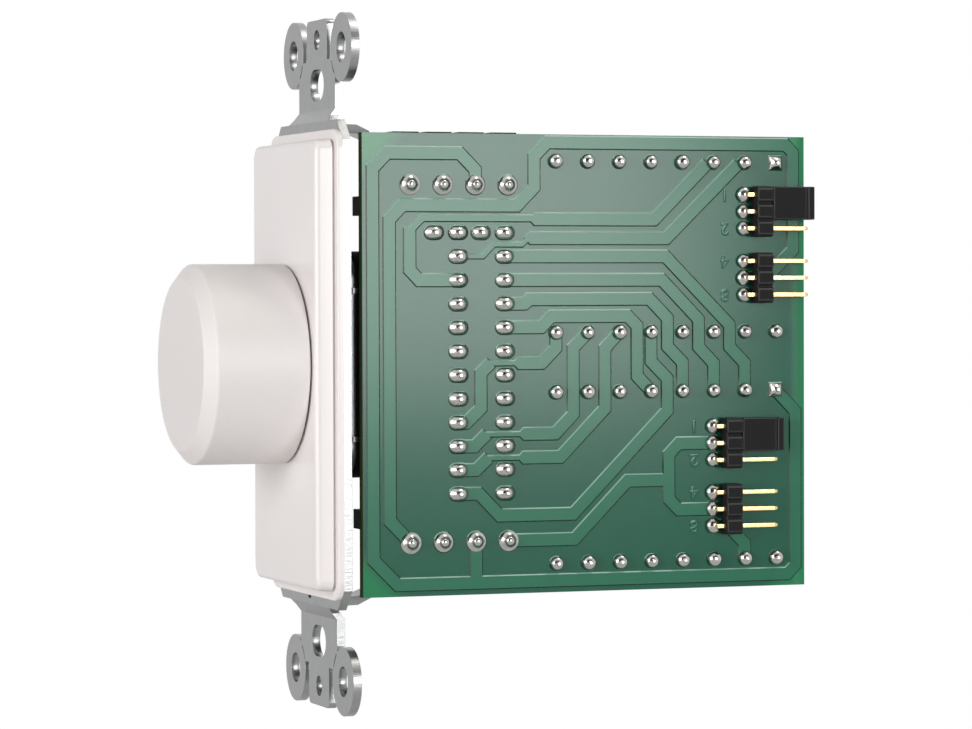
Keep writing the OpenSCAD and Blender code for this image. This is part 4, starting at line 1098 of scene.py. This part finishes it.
@dataclass
class Board:
    """The circuit board with its tracks, solder and numbers, in millimetres."""

    track_edge: float = 0.17
    track_weld: float = 0.002
    slope_from: float = 0.97
    upper_from: float = 0.25
    smooth_deg: float = 20.0
    solder_smooth_deg: float = 50.0
    joint_sizes: Point = (0.94, 1.04)
    joint_seed: int = 7
    core_row: int = 8
    lead_r: float = 0.35
    header_pins: int = 3
    numbers_used: tuple[str, ...] = ("1", "2", "4", "8")
    number_h: float = 1.8
    number_edge: float = 0.11
    number_gap: float = 3.4
    # Height of a numeral in the built-in typeface, as a share of its size
    numeral_share: float = 0.7

    def build(self) -> None:
        """Makes and settles everything on the soldered side."""
        paint(["circuit_board"], LACQUERED_BOARD)
        settle(self.tracks(), Body.CHASSIS, LACQUERED_COPPER, "copper_tracks")
        settle(self.solder(), Body.CHASSIS, TIN_SOLDER, "solder_joints")
        settle(self.numbers(), Body.CHASSIS, LACQUERED_COPPER)

    def shade_edges(self, shape: Shape) -> None:
        """Gives sloping edges a painted highlight where they face up and not to the rear, else the thin
        lacquer with painted shade.

        Args:
            shape: Shape of copper under lacquer.
        """
        for face in shape.faces:
            upper = face.normal.z > self.upper_from and face.normal.y < self.upper_from
            sloping = Lacquer.PAINTED_HIGHLIGHT if upper else Lacquer.THIN
            face.material_index = sloping if face.normal.x < self.slope_from else Lacquer.FLAT

    def tracks(self) -> Piece:
        """Makes the tracks as the lacquer lies over them: flat tops, sloping down to the board.

        Returns:
            The tracks.
        """
        shape = solid_copy("copper_tracks")
        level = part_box("copper_tracks")[0].x
        tops = [face for face in shape.faces if face.normal.x > SQUARE_ON]
        bmesh.ops.inset_region(shape, faces=tops, thickness=self.track_edge * MM, use_even_offset=True,
                               use_boundary=True)
        inner = {vert for face in tops for vert in face.verts}
        for vert in shape.verts:
            if vert not in inner:
                vert.co.x = level
        weld(shape, self.track_weld)
        bmesh.ops.recalc_face_normals(shape, faces=shape.faces)
        # Painted highlight on the upper edges and painted shade on the others
        self.shade_edges(shape)
        return piece_from("lacquered_tracks", shape, TRACK_FINISHES, self.smooth_deg)

    def joint_tree(self) -> Tree:
        """Makes the tree that sets a joint on each point of a mesh, each a little turned and sized.

        Returns:
            The geometry tree.
        """
        tree, entry, leave = new_tree("solder_joints_tree", {
            "Joint": "NodeSocketObject", "Turn": "NodeSocketFloat", "Seed": "NodeSocketInt",
            "Material": "NodeSocketMaterial"})
        value = entry.outputs
        joint = add_node(tree, "GeometryNodeObjectInfo", {"Object": value["Joint"]})
        most = add_node(tree, "ShaderNodeCombineXYZ", {0: value["Turn"]})
        turn = add_node(tree, "FunctionNodeRandomValue", {
            "Max": most.outputs[0], "Seed": value["Seed"]}, data_type="FLOAT_VECTOR")
        least, largest = self.joint_sizes
        size = add_node(tree, "FunctionNodeRandomValue", {
            2: least, 3: largest, "Seed": value["Seed"]}, data_type="FLOAT")
        many = add_node(tree, "GeometryNodeInstanceOnPoints", {
            "Points": value["Geometry"], "Instance": joint.outputs["Geometry"],
            "Rotation": turn.outputs[0], "Scale": size.outputs[1]})
        close_tree(tree, leave, many.outputs["Instances"], value["Material"])
        return tree

    def solder(self) -> Piece:
        """Makes every solder joint, with the ends of the leads that stand out of it.

        Returns:
            The joints as one piece.
        """
        tree = self.joint_tree()
        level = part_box("copper_tracks")[1].x
        height = (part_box("solder_joints")[1].x - level) / MM
        cores = lead_ends("transformer_pins", LeadEnd.HIGH)
        # One pad of each core is square and marks its first lead
        marked = cores[self.core_row - 1::2 * self.core_row]
        plain = [place for place in cores if place not in marked]
        cone = Joint("terminal_legs", LeadEnd.HIGH, foot_r=1.53, tip_r=0.62, rise=1.0, swell=0.7, flare=1.6)
        long = Joint("switch_pins", LeadEnd.HIGH, foot_r=1.04, tip_r=0.36, rise=0.85, swell=1.4, flare=0.7,
                     half_l=0.42)
        header = Joint("header_pins", LeadEnd.LOW, foot_r=1.2, tip_r=0.3, rise=0.9, swell=2.2, flare=0.55,
                       shift=-0.35)
        ball = Joint("transformer_pins", LeadEnd.HIGH, foot_r=1.1, tip_r=0.3, rise=1.0, swell=2.2,
                     flare=0.55, turn=6.0)
        block = Joint("transformer_pins", LeadEnd.HIGH, foot_r=1.05, tip_r=0.3, rise=0.9, swell=1.5,
                      flare=0.8, square=1.0)
        stub = Joint("lead", LeadEnd.HIGH, foot_r=self.lead_r, tip_r=self.lead_r, rise=1.08, swell=1.0,
                     flare=1.0)
        plans = [(cone, None, TIN_SOLDER), (long, None, TIN_SOLDER), (header, None, TIN_SOLDER),
                 (ball, plain, TIN_SOLDER), (block, marked, TIN_SOLDER),
                 (stub, lead_ends("switch_pins", LeadEnd.HIGH) + cores, TINNED_WIRE)]
        finishes = [TIN_SOLDER, TINNED_WIRE]
        shape = bmesh.new()
        for joint, places, finish in plans:
            base = bpy.data.meshes.new(joint.node + "_places")
            base.from_pydata([(level, y + joint.shift * MM, z)
                              for y, z in places or lead_ends(joint.node, joint.end)], [], [])
            holder = bpy.data.objects.new(joint.node + "_joint", joint.mesh(height))
            done = len(shape.faces)
            shape.from_mesh(plain_mesh(joint.node + "_solder", base, tree, {
                "Joint": holder, "Turn": joint.turn, "Seed": self.joint_seed,
                "Material": finish.material()}))
            bpy.data.objects.remove(holder)
            for face in list(shape.faces)[done:]:
                face.material_index = finishes.index(finish)
        return piece_from("solder", shape, finishes, self.solder_smooth_deg)

    def numbers(self) -> Piece:
        """Makes the etched numbers beside the headers, which read with the part the other way up.

        Returns:
            The numbers as one piece.
        """
        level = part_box("circuit_board")[1].x
        middle = self.header_pins // 2
        pads = lead_ends("header_pins", LeadEnd.LOW)
        ends = [pad for k, pad in enumerate(pads) if k % self.header_pins != middle]
        shape = bmesh.new()
        for k, (y, z) in enumerate(ends):
            text = bpy.data.curves.new("number", "FONT")
            text.body = self.numbers_used[k % len(self.numbers_used)]
            text.align_x, text.align_y = "CENTER", "CENTER"
            text.size = self.number_h / self.numeral_share * MM
            text.bevel_depth = self.number_edge * MM
            holder = new_object("number", text)
            mesh = evaluated_mesh(holder)
            bpy.data.objects.remove(holder)
            mesh.transform(Matrix(((0, 0, 1, level), (-1, 0, 0, y - self.number_gap * MM),
                                   (0, -1, 0, z), (0, 0, 0, 1))))
            shape.from_mesh(mesh)
        weld(shape, SOLID_WELD)
        # The numbers' edges take the same painted highlight and shade as the tracks
        self.shade_edges(shape)
        return piece_from("etched_numbers", shape, TRACK_FINISHES, self.smooth_deg)


@dataclass
class Jumpers:
    """Right-angle pin headers and the jumpers pushed onto them, in millimetres."""

    moulding_edge: float = 0.14
    pin_edge: float = 0.06
    point_l: float = 0.6
    point_inset: float = 0.15
    tip_area: float = 0.7
    shunt_edge: float = 0.16

    def build(self) -> None:
        """Rounds the mouldings and the pins and settles each on its own body."""
        rounded_piece("header_mouldings", "pin_headers", Body.CHASSIS, BLACK_FINISHES, self.moulding_edge)
        settle(self.pins(), Body.CHASSIS, GOLD_FLASH, "header_pins")
        for body in (Body.UPPER_SHUNT, Body.LOWER_SHUNT):
            rounded_piece(body.value + "_cap", body.value, body, BLACK_FINISHES, self.shunt_edge)
            paint([body.value + "_contact"], SPRING_BRASS)

    def pins(self) -> Piece:
        """Makes the plated pins with their free ends drawn to a blunt point.

        Returns:
            The pins as one piece.
        """
        shape = solid_copy("header_pins")
        tips = [face for face in shape.faces
                if face.normal.y > SQUARE_ON and face.calc_area() < self.tip_area * MM * MM]
        for face in tips:
            for vert in face.verts:
                vert.co.y -= self.point_l * MM
        bmesh.ops.inset_individual(shape, faces=tips, thickness=self.point_inset * MM,
                                   depth=self.point_l * MM)
        return piece_from("header_pins_plated", soften(shape, self.pin_edge), [GOLD_FLASH])


@dataclass
class Transformers:
    """The two tapped transformers on the inner side of the board, in millimetres."""

    plate_pitch: float = 0.5
    plate_gap: float = 0.06
    shift: float = 0.05
    leg_share: float = 1 / 3
    bobbin_edge: float = 0.2
    tape_edge: float = 0.5
    tape_steps: int = 3
    tape_corner_deg: float = 60.0
    tape_fold_above: float = 1.0

    def build(self) -> None:
        """Makes and settles cores, bobbins and tapes, and paints the windings."""
        tree = self.stack_tree()
        for seed, side in enumerate(("upper", "lower")):
            settle(self.core(side, tree, seed), Body.CHASSIS, SILICON_STEEL, side + "_core")
            rounded_piece(side + "_bobbin_moulding", side + "_bobbin", Body.CHASSIS, [NATURAL_NYLON],
                          self.bobbin_edge)
            rounded_piece(side + "_tape_wrap", side + "_tape", Body.CHASSIS, [POLYESTER_TAPE],
                          self.tape_edge, segments=self.tape_steps, angle_deg=self.tape_corner_deg,
                          wanted=self.upright)
            paint([side + "_winding"], WOUND_WIRE)
        paint(["transformer_pins"], TINNED_WIRE)

    def upright(self, edge: bmesh.types.BMEdge) -> bool:
        """Tells whether an edge of the tape climbs, as the folds round the winding do."""
        return abs((edge.verts[0].co - edge.verts[1].co).z) > self.tape_fold_above * MM

    def stack_tree(self) -> Tree:
        """Makes the tree that stacks a plate along X with small shifts.

        Returns:
            The geometry tree.
        """
        tree, entry, leave = new_tree("plate_stack_tree", {
            "Count": "NodeSocketInt", "Pitch": "NodeSocketFloat", "Shift": "NodeSocketFloat",
            "Seed": "NodeSocketInt", "Material": "NodeSocketMaterial"})
        value = entry.outputs
        step = add_node(tree, "ShaderNodeCombineXYZ", {0: value["Pitch"]})
        line = add_node(tree, "GeometryNodeMeshLine", {
            "Count": value["Count"], "Offset": step.outputs[0]}, mode="OFFSET")
        back = add_node(tree, "ShaderNodeMath", {0: value["Shift"], 1: -1.0}, operation="MULTIPLY")
        low = add_node(tree, "ShaderNodeCombineXYZ", {1: back.outputs[0], 2: back.outputs[0]})
        high = add_node(tree, "ShaderNodeCombineXYZ", {1: value["Shift"], 2: value["Shift"]})
        move = add_node(tree, "FunctionNodeRandomValue", {
            0: low.outputs[0], 1: high.outputs[0], "Seed": value["Seed"]}, data_type="FLOAT_VECTOR")
        loose = add_node(tree, "GeometryNodeSetPosition", {
            "Geometry": line.outputs["Mesh"], "Offset": move.outputs[0]})
        many = add_node(tree, "GeometryNodeInstanceOnPoints", {
            "Points": loose.outputs["Geometry"], "Instance": value["Geometry"]})
        close_tree(tree, leave, many.outputs["Instances"], value["Material"])
        return tree

    def core(self, side: str, tree: Tree, seed: int) -> Piece:
        """Makes one core as a stack of plates with two windows.

        Args:
            side: Which of the two transformers.
            tree: Tree that stacks the plates.
            seed: Seed of their small shifts.

        Returns:
            The core.
        """
        low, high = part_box(side + "_core")
        size = high - low
        inset = self.shift * MM
        leg = size.y * self.leg_share
        ys = [low.y + inset, low.y + leg / 2, low.y + leg, high.y - leg, high.y - leg / 2, high.y - inset]
        zs = [low.z + inset, low.z + leg / 2, high.z - leg / 2, high.z - inset]
        windows = ((1, 1), (3, 1))
        plate = bmesh.new()
        grid = [[plate.verts.new((low.x, y, z)) for z in zs] for y in ys]
        for a in range(len(ys) - 1):
            for b in range(len(zs) - 1):
                if (a, b) not in windows:
                    plate.faces.new((grid[a][b], grid[a + 1][b], grid[a + 1][b + 1], grid[a][b + 1]))
        thick = (self.plate_pitch - self.plate_gap) * MM
        grown = bmesh.ops.extrude_face_region(plate, geom=plate.faces[:])
        moved = [g for g in grown["geom"] if isinstance(g, bmesh.types.BMVert)]
        bmesh.ops.translate(plate, verts=moved, vec=(thick, 0, 0))
        bmesh.ops.recalc_face_normals(plate, faces=plate.faces)
        shape = bmesh.new()
        shape.from_mesh(plain_mesh(side + "_plates", mesh_from(side + "_plate", plate), tree, {
            "Count": round(size.x / (self.plate_pitch * MM)), "Pitch": self.plate_pitch * MM,
            "Shift": inset, "Seed": seed, "Material": SILICON_STEEL.material()}))
        return piece_from(side + "_laminations", shape, [SILICON_STEEL])


@dataclass
class Terminals:
    """The two blocks of wire terminals at the outer edges of the board, in millimetres."""

    edge: float = 0.2
    poles: int = 4

    def build(self) -> None:
        """Rounds the blocks and paints screws, clamps and legs."""
        for side in ("upper", "lower"):
            rounded_piece(side + "_terminals", side + "_terminal_block", Body.CHASSIS, BLACK_FINISHES,
                          self.edge)
            paint([f"{side}_screw_{k + 1}" for k in range(self.poles)], SCREW_ZINC)
            paint([f"{side}_clamp_{k + 1}" for k in range(self.poles)], SPRING_BRASS)
        paint(["terminal_legs"], TINNED_WIRE)


# Studio


@dataclass
class Lamp:
    """A soft box: where it stands, its size in metres and its brightness."""

    name: str
    place: Place
    size: Point
    radiance: float
    colour: str = "#ffffff"

    def build(self, aim: Vector) -> None:
        """Adds the lamp, hidden from the camera.

        Args:
            aim: Point that it faces.
        """
        data = bpy.data.lights.new(self.name, "AREA")
        data.shape = "RECTANGLE"
        data.size, data.size_y = self.size
        # A lamp's power spreads over its area and a half sphere
        data.energy = self.radiance * math.pi * self.size[0] * self.size[1]
        data.color = linear(self.colour)[:3]
        lamp = new_object(self.name, data)
        lamp.location = self.place
        lamp.rotation_euler = (aim - Vector(self.place)).to_track_quat("-Z", "Y").to_euler()
        lamp.visible_camera = False


LAMPS = (
    Lamp("side_box", (1.934, 0.549, 0.244), (0.62, 0.62), 12.8),
    Lamp("front_box", (0.54, -1.09, 0.14), (0.8, 0.8), 6.2),
    Lamp("top_box", (0.21, 0.49, 1.10), (0.36, 0.36), 9.0, "#fffaf2"),
    Lamp("rear_box", (-1.15, 0.95, 0.25), (0.9, 0.9), 3.2),
)


@dataclass
class Studio:
    """Camera, floor, lamps and white surroundings, in metres."""

    camera_place: Place = (0.55574, -0.17400, 0.01069)
    camera_aim: Place = (0.00054, 0.02531, -0.00039)
    camera_roll_deg: float = -0.17
    camera_clip: Point = (0.01, 20.0)
    lens: float = 143.62
    sensor: float = 36.0
    middle_y: float = 0.02
    floor_drop: float = 0.06
    floor_size: float = 1.2
    floor_cells: int = 8
    fade_from: float = 0.18
    fade_to: float = 0.45
    glow: float = 0.5
    world_light: float = 0.11
    floor_colour: str = "#e4e4e4"
    curtain_x: float = 2.4
    curtain_size: Point = (3.6, 2.5)
    curtain_colour: str = "#232324"

    def build(self) -> None:
        """Sets up everything that isn't part of the object."""
        bpy.context.scene.view_settings.view_transform = "Standard"
        self.camera()
        self.floor()
        self.curtain()
        self.surroundings()
        for lamp in LAMPS:
            lamp.build(Vector((0, self.middle_y, 0)))

    def camera(self) -> None:
        """Places the camera where the photograph was taken from."""
        data = bpy.data.cameras.new("camera")
        data.sensor_fit, data.sensor_width, data.lens = "HORIZONTAL", self.sensor, self.lens
        data.clip_start, data.clip_end = self.camera_clip
        camera = new_object("camera", data)
        camera.location = self.camera_place
        view = (Vector(self.camera_aim) - Vector(self.camera_place)).to_track_quat("-Z", "Y")
        roll = Quaternion((0, 0, 1), math.radians(self.camera_roll_deg))
        camera.rotation_euler = (view @ roll).to_euler()
        bpy.context.scene.camera = camera

    def seen(self, tree: Tree) -> Socket:
        """Tells what looks at the stage from what it lights.

        Args:
            tree: Tree of a material or of the world.

        Returns:
            1 for rays from the camera, a gloss or a clear surface, and 0 for the light itself.
        """
        path = add_node(tree, "ShaderNodeLightPath").outputs
        first = add_node(tree, "ShaderNodeMath", {0: path["Is Camera Ray"], 1: path["Is Glossy Ray"]},
                         operation="MAXIMUM")
        every = add_node(tree, "ShaderNodeMath", {
            0: first.outputs[0], 1: path["Is Transmission Ray"]}, operation="MAXIMUM")
        return every.outputs[0]

    def sheet(self, name: str, shape: Shape, material: bpy.types.Material) -> Piece:
        """Adds a sheet of the stage.

        Args:
            name: Name of the sheet.
            shape: Geometry in metres, freed here.
            material: Material of the sheet.

        Returns:
            The sheet.
        """
        mesh = mesh_from(name, shape)
        mesh.materials.append(material)
        return new_object(name, mesh)

    def floor(self) -> None:
        """Lays a pale floor below the part, which fades into the white round it."""
        level = CAD_BOX[0].z - self.floor_drop
        shape = bmesh.new()
        bmesh.ops.create_grid(shape, x_segments=self.floor_cells, y_segments=self.floor_cells,
                              size=self.floor_size, matrix=Matrix.Translation((0, self.middle_y, level)))
        material, tree = new_material("painted_floor")
        place = add_node(tree, "ShaderNodeTexCoord").outputs["Object"]
        flat = add_node(tree, "ShaderNodeVectorMath", {0: place, 1: (1, 1, 0)}, operation="MULTIPLY")
        reach = add_node(tree, "ShaderNodeVectorMath", {0: flat.outputs[0]}, operation="LENGTH")
        glow = add_node(tree, "ShaderNodeMapRange", {
            "Value": reach.outputs["Value"], "From Min": self.fade_from, "From Max": self.fade_to,
            "To Min": self.glow, "To Max": 1.0}, interpolation_type="SMOOTHSTEP")
        share = add_node(tree, "ShaderNodeMath", {0: glow.outputs["Result"], 1: self.seen(tree)},
                         operation="MULTIPLY")
        coat = add_node(tree, "ShaderNodeBsdfDiffuse", {"Color": linear(self.floor_colour)})
        white = add_node(tree, "ShaderNodeEmission", {"Strength": 1.0})
        both = add_node(tree, "ShaderNodeMixShader", {
            0: share.outputs[0], 1: coat.outputs[0], 2: white.outputs[0]})
        add_node(tree, "ShaderNodeOutputMaterial", {"Surface": both.outputs[0]})
        floor = self.sheet("floor", shape, material)

    def curtain(self) -> None:
        """Hangs a dark cloth behind the camera, so that the metal doesn't reflect white all round."""
        wide, tall = self.curtain_size
        low = CAD_BOX[0].z - self.floor_drop
        shape = bmesh.new()
        shape.faces.new([shape.verts.new((self.curtain_x, y, z)) for y, z in (
            (wide / 2, low), (-wide / 2, low), (-wide / 2, low + tall), (wide / 2, low + tall))])
        material, tree = new_material("dark_cloth")
        cloth = add_node(tree, "ShaderNodeBsdfDiffuse", {"Color": linear(self.curtain_colour)})
        add_node(tree, "ShaderNodeOutputMaterial", {"Surface": cloth.outputs[0]})
        curtain = self.sheet("curtain", shape, material)
        curtain.visible_camera = False

    def surroundings(self) -> None:
        """Makes the world white to the eye and a soft light to the object."""
        world = bpy.data.worlds.new("white_room")
        world.use_nodes = True
        tree = world.node_tree
        tree.nodes.clear()
        white = linear("#ffffff")
        light = add_node(tree, "ShaderNodeBackground", {"Color": white, "Strength": self.world_light})
        view = add_node(tree, "ShaderNodeBackground", {"Color": white, "Strength": 1.0})
        mixed = add_node(tree, "ShaderNodeMixShader", {
            0: self.seen(tree), 1: light.outputs[0], 2: view.outputs[0]})
        add_node(tree, "ShaderNodeOutputWorld", {"Surface": mixed.outputs[0]})
        bpy.context.scene.world = world


def main() -> None:
    """Builds the sub-assemblies in order, then the studio."""
    logging.basicConfig(level=logging.INFO, format="%(message)s")
    for assembly in (FrontPlate(), Dial(), SwitchStack(), Board(), Jumpers(), Transformers(), Terminals()):
        LOG.info("building %s", type(assembly).__name__)
        assembly.build()
    Studio().build()


if __name__ == "__main__":
    main()
